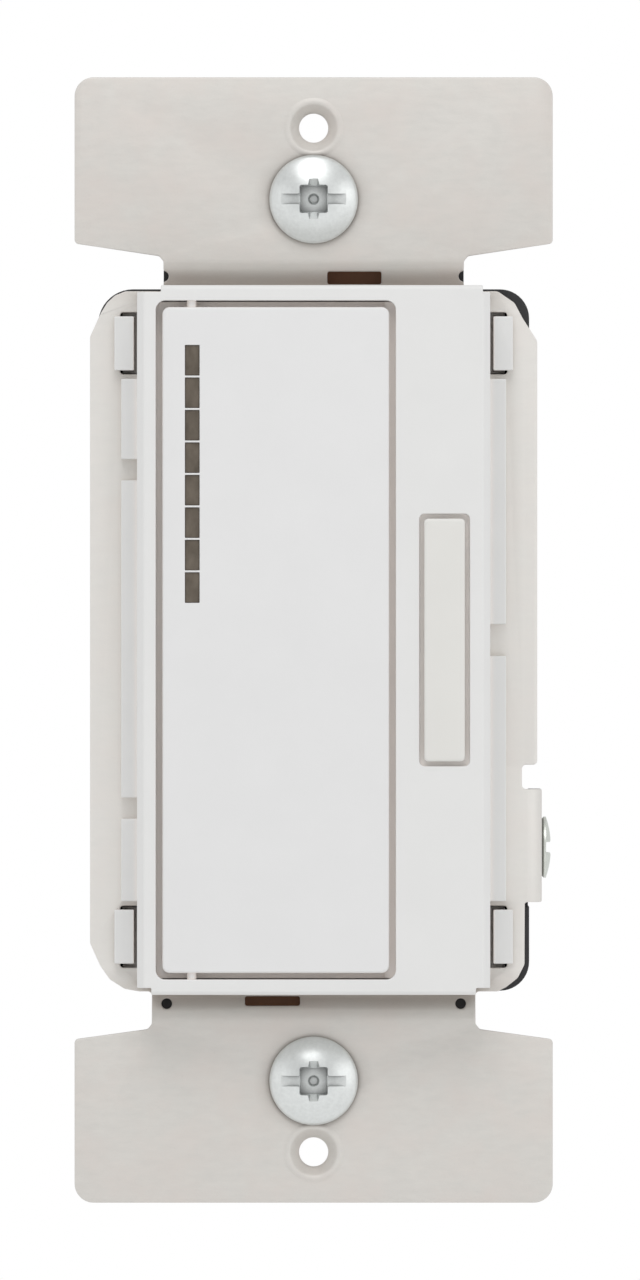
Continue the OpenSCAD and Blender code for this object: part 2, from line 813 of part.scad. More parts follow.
module housing_cavity() {
    inner_w = housing_half_w - housing_wall;
    inner_l = housing_half_l - housing_wall;
    back_w = shoulder_x - housing_wall;
    sheet(middle_back_y - through, shoulder_y - 1.6) round_rect(-inner_w, inner_w, -inner_l, inner_l, 1.8);
    sheet(shoulder_y - 3, back_y - housing_wall) round_rect(-back_w, back_w, -inner_l, inner_l, 1.8);
}

// Solid blocks that the terminal wells are sunk into
module well_block(z) {
    block([well_floor_x - well_wall, well_y[0] - well_wall, z - well_half_z - well_wall],
        [housing_half_w - 0.2, shoulder_y - 0.2, z + well_half_z + well_wall]);
}

module well(z) {
    block([well_floor_x, well_y[0], z - well_half_z], [25, well_y[1], z + well_half_z]);
    rod_x(terminal_y, z, 10, well_floor_x + 0.5, terminal_screw_r + 0.35);
    block([10, tab_y[0] - run_gap, z - tab_half_z - 0.1],
        [well_floor_x + 0.5, tab_y[1] + run_gap, z + tab_half_z + 0.1]);
    for (offset_z = [-wire_offset_z, wire_offset_z])
        rod_y(wire_x, z + offset_z, well_y[1] - 0.5, shoulder_y + through, wire_hole_r);
}

module all_wells() {
    mirror([1, 0, 0]) well(terminal_z);
    mirror([1, 0, 0]) well(load_z);
    well(terminal_z);
}

module rear_housing() {
    color(black) difference() {
        union() {
            difference() {
                housing_outer();
                difference() {
                    housing_cavity();
                    mirror([1, 0, 0]) well_block(terminal_z);
                    mirror([1, 0, 0]) well_block(load_z);
                    well_block(terminal_z);
                    block([ground_well_x - well_wall, 0, ear_z[0] - 0.4 - well_wall],
                        [20, ground_well_y + well_wall, ear_z[1] + 0.4 + well_wall]);
                    both_ends() both_sides() rod_y(post_x, post_z, 0, back_y, post_r);
                }
            }
            // Posts that the power board rests on
            both_ends() both_sides()
                rod_y(11, 24, power_board_y + power_board_t, back_y - 0.5, 1.4);
        }
        all_wells();
        // Well for the ground ear and its screw
        block([ground_well_x, 0, ear_z[0] - 0.4], [25, ground_well_y, ear_z[1] + 0.4]);
        // Room for the lower right snap arm behind the strap
        block([arm_slot_x[0] - 0.1, 0, -arm_z[1] - arm_floor_reach[1] - 0.3],
            [housing_half_w - housing_wall, arm_floor_y[1] + 0.3, -arm_z[0] + arm_floor_reach[0] + 0.25]);
        // Groove beside the strap's notch
        block([notch_x - 0.1, 0, ear_z[1] - 0.5], [25, shoulder_y + through, notch_top_z + 0.2]);
        // Passages for the long screws
        both_ends() both_sides() {
            rod_y(post_x, post_z, 0, back_y, 1.3);
            rod_y(post_x, post_z, 26, back_y + through, 2.5);
        }
        // Notches for the insulator's tongues
        block([0.3, 0, 28], [7.4, middle_back_y + insulator_t + 0.1, 40]);
        block([-7.5, 0, -40], [-0.3, middle_back_y + insulator_t + 0.1, -28]);
        // Shallow panel on the back
        sheet(back_y - 0.3, back_y + through) round_rect(-10.5, 10.5, -22, 22, 1.5);
    }
}

module housing_screw() {
    difference() {
        union() {
            rod_y(post_x, post_z, middle_front_y + 0.1, 26.5, 1.2);
            rod_y(post_x, post_z, 26 + touch, 27.9, 2.3);
        }
        block([post_x - 0.35, 27.1, post_z - 1.5], [post_x + 0.35, 29, post_z + 1.5]);
        block([post_x - 1.5, 27.1, post_z - 0.35], [post_x + 1.5, 29, post_z + 0.35]);
    }
}

module housing_screws() {
    color(zinc) both_ends() both_sides() housing_screw();
}

// ---- Terminals ----

// Drawn on the right; mirrored for the left side
module bracket(z) {
    color(brass) difference() {
        union() {
            block([well_floor_x, well_y[0] + 0.8, z - 4.4], [bracket_x, well_y[1] - 0.8, z + 4.4]);
            block([tab_x[0], tab_y[0], z - tab_half_z], [bracket_x, tab_y[1], z + tab_half_z]);
            block([tab_x[0], tab_y[0], z - tab_half_z], [tab_x[1], power_board_y, z + tab_half_z]);
        }
        rod_x(terminal_y, z, well_floor_x - 0.5, bracket_x + 0.5, terminal_screw_r + run_gap);
    }
}

module clamp(z) {
    color(zinc) difference() {
        block([clamp_x, well_y[0] + 1.1, z - 4.2], [clamp_x + clamp_t, well_y[1] - 1.1, z + 4.2]);
        rod_x(terminal_y, z, clamp_x - 1, clamp_x + clamp_t + 1, terminal_screw_r + run_gap);
    }
}

// Screw along X with its head outward; the recess takes a flat or a cross blade
module side_screw(y, z, x_tip, x_seat, head_h, head_r) {
    difference() {
        union() {
            rod_x(y, z, x_tip, x_seat + 0.2, terminal_screw_r);
            rod_x(y, z, x_seat, x_seat + head_h, head_r);
        }
        block([x_seat + head_h * 0.45, y - 0.5, z - head_r - 1], [x_seat + 5, y + 0.5, z + head_r + 1]);
        block([x_seat + head_h * 0.3, y - 2, z - 0.5], [x_seat + 5, y + 2, z + 0.5]);
    }
}

module terminal_screw(z, tint) {
    color(tint)
        side_screw(terminal_y, z, 14.2, clamp_x + clamp_t + touch, 1.8, terminal_head_r);
}

module line_bracket() { mirror([1, 0, 0]) bracket(terminal_z); }
module line_clamp() { mirror([1, 0, 0]) clamp(terminal_z); }
module line_screw() { mirror([1, 0, 0]) terminal_screw(terminal_z, brass); }
module load_bracket() { mirror([1, 0, 0]) bracket(load_z); }
module load_clamp() { mirror([1, 0, 0]) clamp(load_z); }
module load_screw() { mirror([1, 0, 0]) terminal_screw(load_z, brass); }
module traveler_bracket() { bracket(terminal_z); }
module traveler_clamp() { clamp(terminal_z); }
module traveler_screw() { terminal_screw(terminal_z, brass); }

module ground_screw() {
    seat = ear_x + touch;
    color([0.55, 0.68, 0.58]) difference() {
        union() {
            rod_x(ground_y, ground_z, 15.8, seat + 0.2, terminal_screw_r);
            rod_x(ground_y, ground_z, seat, seat + 0.3, 2.9);
            translate([seat + 0.25, ground_y, ground_z])
                rotate([0, 90, 0]) cylinder(h = 0.65, r1 = 2.75, r2 = 1.7);
        }
        block([seat + 0.35, ground_y - 0.45, ground_z - 3.2], [seat + 2, ground_y + 0.45, ground_z + 3.2]);
    }
}

// ---- Box screws ----

// Half section of a box screw's head: a low rim with a domed top
module box_head_profile() {
    head_h = 2.0;
    rim_h = 0.45;
    dome_r = (box_head_r * box_head_r + pow(head_h - rim_h, 2)) / (2 * (head_h - rim_h));
    intersection() {
        square([box_head_r, head_h + 1]);
        translate([0, head_h - dome_r]) circle(dome_r, $fn = 180);
    }
}

module box_screw(z) {
    seat = -strap_t - touch;
    color(zinc) difference() {
        union() {
            translate([0, seat, z]) rotate([90, 0, 0]) rotate_extrude() box_head_profile();
            rod_y(0, z, seat - 0.2, 1.2, 1.35);
            rod_y(0, z, 1.0, box_screw_l - 0.8, box_thread_r);
            translate([0, box_screw_l - 0.8, z])
                rotate([-90, 0, 0]) cylinder(h = 0.8, r1 = box_thread_r, r2 = 1.0);
        }
        // Combination recess
        block([-3.6, seat - 3, z - 0.5], [3.6, seat - 1.2, z + 0.5]);
        block([-0.55, seat - 3, z - 2.3], [0.55, seat - 0.9, z + 2.3]);
    }
}

module upper_box_screw() { box_screw(box_screw_span / 2); }
module lower_box_screw() { box_screw(-box_screw_span / 2); }

// Fibre washers behind the strap that keep the box screws with the device
module screw_retainers() {
    color([0.80, 0.78, 0.70]) both_ends() difference() {
        rod_y(0, box_screw_span / 2, touch, 0.85, 3.6);
        rod_y(0, box_screw_span / 2, -1, 2, 1.45);
    }
}

mounting_strap();
face_frame();
paddle();
indicator_lens();
rocker();
control_board();
indicator_leds();
light_baffle();
microcontroller();
paddle_switch_body();
raise_switch_body();
lower_switch_body();
paddle_switch_button();
raise_switch_button();
lower_switch_button();
board_spacer_sheet();
strap_insulator();
header_block();
header_pins();
power_board();
thermal_pad();
triac_tab();
triac_body();
triac_leads();
triac_screw();
choke_core();
choke_winding();
film_capacitor();
filter_capacitor();
surge_varistor();
fuse_link();
rear_housing();
housing_screws();
line_bracket();
line_clamp();
line_screw();
load_bracket();
load_clamp();
load_screw();
traveler_bracket();
traveler_clamp();
traveler_screw();
ground_screw();
upper_box_screw();
lower_box_screw();
screw_retainers();
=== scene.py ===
import json
import math

import bmesh
import bpy
from mathutils import Matrix, Vector


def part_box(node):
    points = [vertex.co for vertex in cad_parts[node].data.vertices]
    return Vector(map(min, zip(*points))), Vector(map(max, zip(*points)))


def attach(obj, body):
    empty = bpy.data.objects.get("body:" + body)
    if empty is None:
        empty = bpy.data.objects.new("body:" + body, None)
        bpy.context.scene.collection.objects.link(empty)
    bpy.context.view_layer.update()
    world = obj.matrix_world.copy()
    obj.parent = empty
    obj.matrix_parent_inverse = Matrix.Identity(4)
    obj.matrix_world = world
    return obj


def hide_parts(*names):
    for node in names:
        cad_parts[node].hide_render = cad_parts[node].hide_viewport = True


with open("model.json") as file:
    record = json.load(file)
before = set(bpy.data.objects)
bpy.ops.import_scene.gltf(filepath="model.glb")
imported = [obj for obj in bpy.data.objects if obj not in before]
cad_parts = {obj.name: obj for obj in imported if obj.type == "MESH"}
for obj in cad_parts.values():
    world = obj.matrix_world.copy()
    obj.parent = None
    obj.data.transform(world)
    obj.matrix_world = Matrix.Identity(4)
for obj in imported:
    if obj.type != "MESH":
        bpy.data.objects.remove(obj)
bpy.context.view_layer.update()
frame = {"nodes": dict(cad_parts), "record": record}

# Looks of a decorator wall dimmer. Shapes are drawn in millimetres, in the frame's own
# axes: +X right, +Z up, the face toward -Y. place() turns them into metres.

MM = 0.001


def node_box(name):
    """Lowest and highest corner of a CAD node in millimetres."""
    low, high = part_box(name)
    return low / MM, high / MM


# ---- Driving dimensions, from the frame ----

STRAP_HIGH = node_box("mounting_strap")[1]
FACE_LOW = node_box("face_frame")[0]
BOX_SCREW_LOW, BOX_SCREW_HIGH = node_box("upper_box_screw")

PLATE_HALF_W = STRAP_HIGH.x
STRAP_HALF_L = STRAP_HIGH.z
STRAP_T = 1.3
PLATE_FRONT = -STRAP_T
MIDDLE_FRONT = 0.2
MIDDLE_HALF_W = 21.15
BEND_Z = 33.75
STEP_FROM = 33.3
STEP_TO = 36.0
BOX_SCREW_Z = (BOX_SCREW_LOW.z + BOX_SCREW_HIGH.z) / 2
PLATE_HOLE_Z = 48.42
PLATE_HOLE_R = 1.38
FACE_Y = FACE_LOW.y
PADDLE_LEFT = -14.26
PADDLE_RIGHT = 7.12
PADDLE_HALF_L = 31.38
HINGE_X = -11.5
HINGE_Y = FACE_Y + 0.8
HINGE_PIN_R = 0.45
WINDOW_COUNT = 8
WINDOW_X = -11.44
WINDOW_W = 1.38
WINDOW_L = 2.88
WINDOW_PITCH = 3.06
WINDOW_BOTTOM = 3.5
ROCKER_X = 12.34
ROCKER_HALF_W = 1.93
ROCKER_HALF_L = 11.45
EAR_Z = (-24.8, -14.1)
EAR_BACK = 11.0
SCREW_PITCH = 0.79375
THREAD_DEPTH = 0.30
BOX_THREAD_R = 1.72
ARC_STEP = math.radians(9)


# ---- Mesh building ----

def solid(verts, faces):
    """New object from points and faces, with outward normals."""
    mesh = bpy.data.meshes.new("solid")
    mesh.from_pydata([tuple(v) for v in verts], [], faces)
    bm = bmesh.new()
    bm.from_mesh(mesh)
    bmesh.ops.recalc_face_normals(bm, faces=bm.faces)
    bm.to_mesh(mesh)
    bm.free()
    made = bpy.data.objects.new("solid", mesh)
    bpy.context.scene.collection.objects.link(made)
    return made


def rounded(corners):
    """Outline through (u, v, radius) corners, as points with an arc at each rounded one."""
    points = []
    for i, (u, v, radius) in enumerate(corners):
        here = Vector((u, v))
        before = Vector(corners[i - 1][:2]) - here
        after = Vector(corners[(i + 1) % len(corners)][:2]) - here
        if radius == 0:
            points.append(here)
            continue
        half = before.angle(after) / 2
        reach = min(radius / math.tan(half), 0.49 * before.length, 0.49 * after.length)
        centre = here + (before.normalized() + after.normalized()).normalized() * (reach / math.cos(half))
        start = here + before.normalized() * reach - centre
        end = here + after.normalized() * reach - centre
        sweep = start.angle_signed(end)
        steps = max(2, math.ceil(abs(sweep) / ARC_STEP))
        for k in range(steps + 1):
            turned = start.copy()
            turned.rotate(Matrix.Rotation(-sweep * k / steps, 2))
            points.append(centre + turned)
    return points


def rectangle(u_low, u_high, v_low, v_high, radius=0):
    return rounded([(u_low, v_low, radius), (u_high, v_low, radius),
                    (u_high, v_high, radius), (u_low, v_high, radius)])


def disc(u, v, radius, steps=48):
    angles = [math.tau * k / steps for k in range(steps)]
    return [Vector((u + radius * math.cos(angle), v + radius * math.sin(angle))) for angle in angles]


AXIS_ORDER = {
    "x": lambda u, v, w: (w, u, v),
    "y": lambda u, v, w: (u, w, v),
    "z": lambda u, v, w: (u, v, w),
}


def skin(rings, count, closed=False, caps=(True, True)):
    """Faces over rings of count points each, and over the open ends where caps says so."""
    faces = []
    for ring in range(rings if closed else rings - 1):
        here, there = ring * count, (ring + 1) % rings * count
        for k in range(count):
            after = (k + 1) % count
            faces.append([here + k, here + after, there + after, there + k])
    for start, capped in zip((0, (rings - 1) * count), caps):
        if capped and not closed:
            faces.append(list(range(start, start + count)))
    return faces


def loft(outlines, depths, axis="y"):
    """Solid through outlines with equal numbers of points, one at each depth along an axis."""
    to_space = AXIS_ORDER[axis]
    verts = [to_space(p[0], p[1], w) for outline, w in zip(outlines, depths) for p in outline]
    return solid(verts, skin(len(outlines), len(outlines[0])))


def prism(outline, low, high, axis="y"):
    return loft([outline, outline], [low, high], axis)


def soft_prism(outline, low, high, edge):
    """Prism whose ends are rounded over by edge, for outlines around their own middle."""
    steps = 4
    middle = sum(outline, Vector((0, 0))) / len(outline)
    half_u = max(abs(p[0] - middle[0]) for p in outline)
    half_v = max(abs(p[1] - middle[1]) for p in outline)
    rings, depths = [], []
    for end, direction in ((low, 1), (high, -1)):
        part = []
        for k in range(steps + 1):
            turn = math.pi / 2 * k / steps
            inset = edge * (1 - math.sin(turn))
            scale = Vector(((half_u - inset) / half_u, (half_v - inset) / half_v))
            ring = [middle + (p - middle) * scale for p in outline]
            part.append((ring, end + direction * edge * (1 - math.cos(turn))))
        if direction < 0:
            part.reverse()
        rings += [ring for ring, _ in part]
        depths += [depth for _, depth in part]
    return loft(rings, depths)


def hole(u_low, u_high, v_low, v_high, front, back, corner, chamfer):
    """Cutter for a straight hole whose front edge is broken by a small chamfer."""
    wide = rectangle(u_low - chamfer, u_high + chamfer, v_low - chamfer, v_high + chamfer, corner + chamfer)
    narrow = rectangle(u_low, u_high, v_low, v_high, corner)
    return loft([wide, wide, narrow, narrow], [front - 1, front, front + chamfer, back])


def block(low, high):
    return prism(rectangle(low[0], high[0], low[2], high[2]), low[1], high[1])


def lathe(profile, u, v, axis="y", steps=64):
    """Solid of revolution about a line along an axis; profile holds (radius, depth) pairs."""
    small = 1e-4
    outlines = [disc(u, v, max(r, small), steps) for r, _ in profile]
    return loft(outlines, [depth for _, depth in profile], axis)


def dome(radius, rise, steps=8):
    """(radius, height) pairs from the rim of a shallow dome up to its middle."""
    sphere_r = (radius ** 2 + rise ** 2) / (2 * rise)
    edge = math.asin(radius / sphere_r)
    return [(sphere_r * math.sin(edge * (1 - k / steps)),
             sphere_r * math.cos(edge * (1 - k / steps)) - sphere_r + rise) for k in range(steps + 1)]


def threaded_rod(length, radius, tip=1.2, around=28, per_turn=8):
    """Right-hand threaded rod along +Y from 0, its tip tapered."""
    rows = math.ceil(length / SCREW_PITCH * per_turn)
    verts = []
    for j in range(rows + 1):
        y = length * j / rows
        taper = min(1, (length - y) / tip)
        for i in range(around):
            ridge = 1 - abs(2 * ((y / SCREW_PITCH - i / around) % 1) - 1)
            depth = THREAD_DEPTH * (1 - min(1, 1.3 * ridge))
            r = (radius - depth) * (0.72 + 0.28 * taper)
            angle = math.tau * i / around
            verts.append((r * math.sin(angle), y, r * math.cos(angle)))
    return solid(verts, skin(rows + 1, around))


def tube(path, radius, sides=10):
    """Round wire that follows a path of points."""
    verts = []
    normal = None
    last = len(path) - 1
    for k in range(last + 1):
        along = (path[min(k + 1, last)] - path[max(k - 1, 0)]).normalized()
        if normal is None:
            normal = along.orthogonal().normalized()
        normal = (normal - along * normal.dot(along)).normalized()
        side = along.cross(normal)
        for i in range(sides):
            angle = math.tau * i / sides
            verts.append(path[k] + radius * (math.cos(angle) * normal + math.sin(angle) * side))
    return solid(verts, skin(last + 1, sides))


def bake(made):
    """Replaces an object's mesh by what its modifiers give."""
    depsgraph = bpy.context.evaluated_depsgraph_get()
    mesh = bpy.data.meshes.new_from_object(made.evaluated_get(depsgraph))
    made.modifiers.clear()
    made.data = mesh
    return made


def combine(made, other, operation="DIFFERENCE"):
    """Boolean of two objects; the other one is used up."""
    modifier = made.modifiers.new("combine", "BOOLEAN")
    modifier.operation = operation
    modifier.solver = "EXACT"
    modifier.object = other
    bake(made)
    bpy.data.objects.remove(other)
    return made


def joined(parts):
    """One object from several that don't touch."""
    bm = bmesh.new()
    for part in parts:
        bm.from_mesh(part.data)
    bm.to_mesh(parts[0].data)
    bm.free()
    for part in parts[1:]:
        bpy.data.objects.remove(part)
    return parts[0]


def moved(made, matrix):
    made.data.transform(matrix)
    if matrix.determinant() < 0:
        made.data.flip_normals()
    return made


def shift(x, y, z):
    return Matrix.Translation((x, y, z))


MIRROR_Z = Matrix.Scale(-1, 4, (0, 0, 1))


def round_edges(made, width, angle=35, clean=False):
    """Rounds the sharp edges. clean first joins the faces that lie in one plane."""
    if clean:
        made.modifiers.new("weld", "WELD").merge_threshold = 1e-7
        planar = made.modifiers.new("planar", "DECIMATE")
        planar.decimate_type = "DISSOLVE"
        planar.angle_limit = math.radians(1)
    bevel = made.modifiers.new("edges", "BEVEL")
    bevel.limit_method = "ANGLE"
    bevel.angle_limit = math.radians(angle)
    bevel.width = width
    bevel.segments = 2
    bevel.use_clamp_overlap = False
    bevel.miter_outer = "MITER_ARC"
    return made


def smooth(made, angle=35):
    """Shades rounded faces smoothly and keeps sharp edges sharp."""
    mesh = made.data
    mesh.polygons.foreach_set("use_smooth", [True] * len(mesh.polygons))
    mesh.set_sharp_from_angle(angle=math.radians(angle))
    mesh.update()
    return made


# ---- Materials ----

def linear(*colour):
    """8-bit display colour as linear light."""
    return tuple((c / 255 / 12.92 if c <= 10 else ((c / 255 + 0.055) / 1.055) ** 2.4) for c in colour) + (1,)


class Shader:
    """Node tree of one material, measured in millimetres of the object's own space."""

    def __init__(self, name):
        self.material = bpy.data.materials.new(name)
        self.material.use_nodes = True
        self.tree = self.material.node_tree
        self.surface = self.tree.nodes["Principled BSDF"]
        place_node = self.node("ShaderNodeTexCoord")
        self.place = place_node.outputs["Object"]

    def node(self, kind, **values):
        made = self.tree.nodes.new(kind)
        for key, value in values.items():
            setattr(made, key, value)
        return made

    def join(self, source, target):
        self.tree.links.new(source, target)

    def millimetres(self, stretch=(1, 1, 1)):
        """Place on the object in millimetres, drawn out along the stretched axes."""
        mapping = self.node("ShaderNodeMapping")
        mapping.inputs["Scale"].default_value = [1 / MM / s for s in stretch]
        self.join(self.place, mapping.inputs["Vector"])
        return mapping.outputs["Vector"]

    def noise(self, size, stretch=(1, 1, 1), detail=4, roughness=0.55):
        """Noise whose grains are about size millimetres, longer along the stretched axes."""
        made = self.node("ShaderNodeTexNoise")
        made.inputs["Scale"].default_value = 1 / size
        made.inputs["Detail"].default_value = detail
        made.inputs["Roughness"].default_value = roughness
        self.join(self.millimetres(stretch), made.inputs["Vector"])
        return made.outputs["Fac"]

    def remap(self, value, low, high, to_low, to_high):
        made = self.node("ShaderNodeMapRange")
        for key, number in zip(("From Min", "From Max", "To Min", "To Max"), (low, high, to_low, to_high)):
            made.inputs[key].default_value = number
        self.join(value, made.inputs["Value"])
        return made.outputs["Result"]

    def mix(self, factor, first, second):
        """Colour between two colours or sockets."""
        made = self.node("ShaderNodeMix", data_type="RGBA")
        for socket, value in ((made.inputs[6], first), (made.inputs[7], second)):
            if isinstance(value, tuple):
                socket.default_value = value
            else:
                self.join(value, socket)
        self.join(factor, made.inputs[0])
        return made.outputs[2]

    def edges(self, radius):
        """1 on edges sharper than the radius, 0 on flat faces."""
        bevel = self.node("ShaderNodeBevel", samples=4)
        bevel.inputs["Radius"].default_value = radius * MM
        geometry = self.node("ShaderNodeNewGeometry")
        dot = self.node("ShaderNodeVectorMath", operation="DOT_PRODUCT")
        self.join(bevel.outputs["Normal"], dot.inputs[0])
        self.join(geometry.outputs["Normal"], dot.inputs[1])
        return self.remap(dot.outputs["Value"], 0.995, 0.8, 0, 1)

    def crevices(self, reach, darkest, lightest):
        """1 in creases and beside walls that are within reach millimetres, 0 in the open."""
        occlusion = self.node("ShaderNodeAmbientOcclusion", samples=6)
        occlusion.inputs["Distance"].default_value = reach * MM
        return self.remap(occlusion.outputs["AO"], darkest, lightest, 1, 0)

    def mottled(self, noise, colour, amount):
        """Colour that wavers by a share of itself with a noise."""
        paler, darker = scaled(colour, 1 + amount), scaled(colour, 1 - amount)
        return self.mix(self.remap(noise, 0.3, 0.7, 0, 1), darker, paler)

    def height(self):
        """Distance above or below the middle of the device, in metres."""
        split = self.node("ShaderNodeSeparateXYZ")
        self.join(self.place, split.inputs["Vector"])
        size = self.node("ShaderNodeMath", operation="ABSOLUTE")
        self.join(split.outputs["Z"], size.inputs[0])
        return size.outputs["Value"]

    def product(self, first, second):
        made = self.node("ShaderNodeMath", operation="MULTIPLY")
        self.join(first, made.inputs[0])
        self.join(second, made.inputs[1])
        return made.outputs["Value"]

    def colour(self, value):
        self.join(value, self.surface.inputs["Base Color"])

    def roughness(self, noise, low, high):
        self.join(self.remap(noise, 0.3, 0.7, low, high), self.surface.inputs["Roughness"])

    def set(self, name, value):
        """Sets an input of the surface to a fixed value."""
        self.surface.inputs[name].default_value = value

    def bumps(self, layers):
        """layers holds (height socket, depth in millimetres) pairs."""
        normal = None
        for height, depth in layers:
            bump = self.node("ShaderNodeBump")
            bump.inputs["Distance"].default_value = depth * MM
            self.join(height, bump.inputs["Height"])
            if normal is not None:
                self.join(normal, bump.inputs["Normal"])
            normal = bump.outputs["Normal"]
        self.join(normal, self.surface.inputs["Normal"])


def scaled(colour, amount):
    return tuple(min(1, c * amount) for c in colour[:3]) + (1,)


def plastic(name, colour, roughness=0.42, mottle=0.03, grain=0.15, depth=0.004, wear_and_highlight=0.10, coat=0.0,
            painted_crease_tone=0.0):
    """Moulded plastic: faint cloudy colour, fine moulded texture, edges painted paler (partly rubbing,
    partly a painted highlight) and creases painted a pale warm tone that lifts the shade in them.
    """
    shader = Shader(name)
    clouds = shader.noise(6.0)
    base = shader.mottled(clouds, colour, mottle)
    # Edges painted paler: partly rubbing, partly a painted highlight
    rubbed_and_lit_edges = shader.edges(0.25)
    base = shader.mix(shader.remap(rubbed_and_lit_edges, 0, 1, 0, wear_and_highlight), base, scaled(colour, 1.25))
    # Painted light: creases are painted a pale warm tone that lifts and warms the shade in them
    if painted_crease_tone:
        creases = shader.crevices(0.9, 0.45, 0.8)
        base = shader.mix(shader.remap(creases, 0, 1, 0, painted_crease_tone), base, linear(252, 244, 238))
    shader.colour(base)
    fine = shader.noise(grain, detail=3)
    swell = shader.noise(2.5, detail=2)
    shader.roughness(fine, roughness - 0.05, roughness + 0.07)
    shader.set("Coat Weight", coat)
    shader.set("Specular IOR Level", 0.45)
    shader.bumps([(fine, depth), (swell, depth * 1.5)])
    return shader.material


def metal(name, colour, roughness=0.32, metallic=1.0, mottle=0.05, stretch=(1, 1, 1), size=0.35, depth=0.004,
          wear_and_highlight=0.35, tarnish=0.10, crease=0.8, shade=0.6):
    """Plated or drawn metal: grain, cloudy tarnish, edges painted brighter (partly scuffing, partly a
    painted highlight) and painted shade in creases and recesses.
    """
    shader = Shader(name)
    grain = shader.noise(size, stretch, detail=5, roughness=0.6)
    clouds = shader.noise(3.5, detail=5)
    base = shader.mottled(grain, colour, mottle)
    base = shader.mix(shader.remap(clouds, 0.45, 0.75, 0, tarnish), base, scaled(colour, 0.55))
    # Edges painted brighter: partly scuffing, partly a painted highlight
    worn_and_lit_edges = shader.edges(0.15)
    base = shader.mix(shader.remap(worn_and_lit_edges, 0, 1, 0, wear_and_highlight), base, scaled(colour, 1.25))
    # Painted shade: creases and recesses are darkened toward a fifth of the colour
    creases = shader.crevices(crease, 0.35, 0.8)
    base = shader.mix(shader.remap(creases, 0, 1, 0, shade), base, scaled(colour, 0.2))
    shader.colour(base)
    shader.set("Metallic", metallic)
    shader.roughness(clouds, roughness - 0.06, roughness + 0.08)
    shader.bumps([(grain, depth), (shader.noise(0.08, detail=2), depth * 0.5)])
    return shader.material


def strap_metal():
    """Stamped strap: pale and matte, with faint grain and cloudy handling marks; its edges carry a painted
    highlight, its middle is painted paler and its creases carry painted shade.
    """
    colour = linear(216, 213, 208)
    shader = Shader("strap_metal")
    streaks = shader.noise(0.6, (3, 1, 1), detail=6, roughness=0.65)
    clouds = shader.noise(4.0, (1.3, 1, 1), detail=4)
    specks = shader.noise(0.22, detail=3)
    base = shader.mottled(streaks, colour, 0.035)
    base = shader.mix(shader.remap(clouds, 0.4, 0.75, 0, 0.6), base, linear(219, 210, 204))
    base = shader.mix(shader.remap(specks, 0.62, 0.8, 0, 0.3), base, scaled(colour, 0.8))
    # Painted highlight along the edges
    base = shader.mix(shader.remap(shader.edges(0.2), 0, 1, 0, 0.25), base, scaled(colour, 1.1))
    # Painted light and shade: the middle is painted paler to offset the shade the face casts on it, and the
    # creases of the bends and plates are painted dark brown as shade
    height = shader.height()
    middle_end, plates_start = (STEP_FROM - 2.1) * MM, (STEP_FROM - 0.5) * MM
    near = shader.crevices(1.6, 0.4, 0.95)
    painted_crease_shade = shader.product(near, shader.remap(height, middle_end, plates_start, 0.05, 0.6))
    base = shader.mix(shader.remap(height, middle_end, plates_start, 0.5, 0), base, linear(244, 242, 238))
    base = shader.mix(painted_crease_shade, base, linear(118, 104, 92))
    shader.colour(base)
    shader.set("Metallic", 0.25)
    shader.roughness(streaks, 0.46, 0.60)
    shader.bumps([(streaks, 0.008), (specks, 0.006)])
    return shader.material


def laminate(name, colour, mask_colour, line_size):
    """Circuit board: solder mask over a maze of tracks, with glass weave showing faintly."""
    shader = Shader(name)
    cells = shader.node("ShaderNodeTexVoronoi", distance="CHEBYCHEV")
    shader.join(shader.millimetres(), cells.inputs["Vector"])
    cells.inputs["Scale"].default_value = 1 / line_size
    cells.inputs["Randomness"].default_value = 0.6
    tracks = shader.remap(cells.outputs["Distance"], 0.42, 0.46, 0, 1)
    weave = shader.noise(0.35, (1, 1, 3), detail=2)
    base = shader.mix(tracks, mask_colour, colour)
    base = shader.mix(shader.remap(weave, 0.4, 0.8, 0, 0.2), base, scaled(colour, 0.6))
    shader.colour(base)
    shader.set("Roughness", 0.35)
    shader.bumps([(tracks, 0.02), (weave, 0.01)])
    return shader.material


def smoked_lens():
    """Smoked window: dark brown and glossy, with painted shade toward its edges and a soft streak inside."""
    shader = Shader("smoked_lens")
    cloud = shader.noise(1.1, (1, 1, 1.6), detail=3)
    base = shader.mix(shader.remap(cloud, 0.3, 0.7, 0, 1), linear(88, 80, 70), linear(112, 103, 92))
    # Painted shade toward the window walls
    painted_rim_shade = shader.crevices(0.5, 0.35, 0.9)
    base = shader.mix(shader.remap(painted_rim_shade, 0, 1, 0, 0.8), base, linear(58, 50, 42))
    shader.colour(base)
    shader.set("Roughness", 0.35)
    shader.set("Specular IOR Level", 0.3)
    shader.bumps([(shader.noise(0.4), 0.004)])
    return shader.material


ZINC = linear(226, 229, 228)

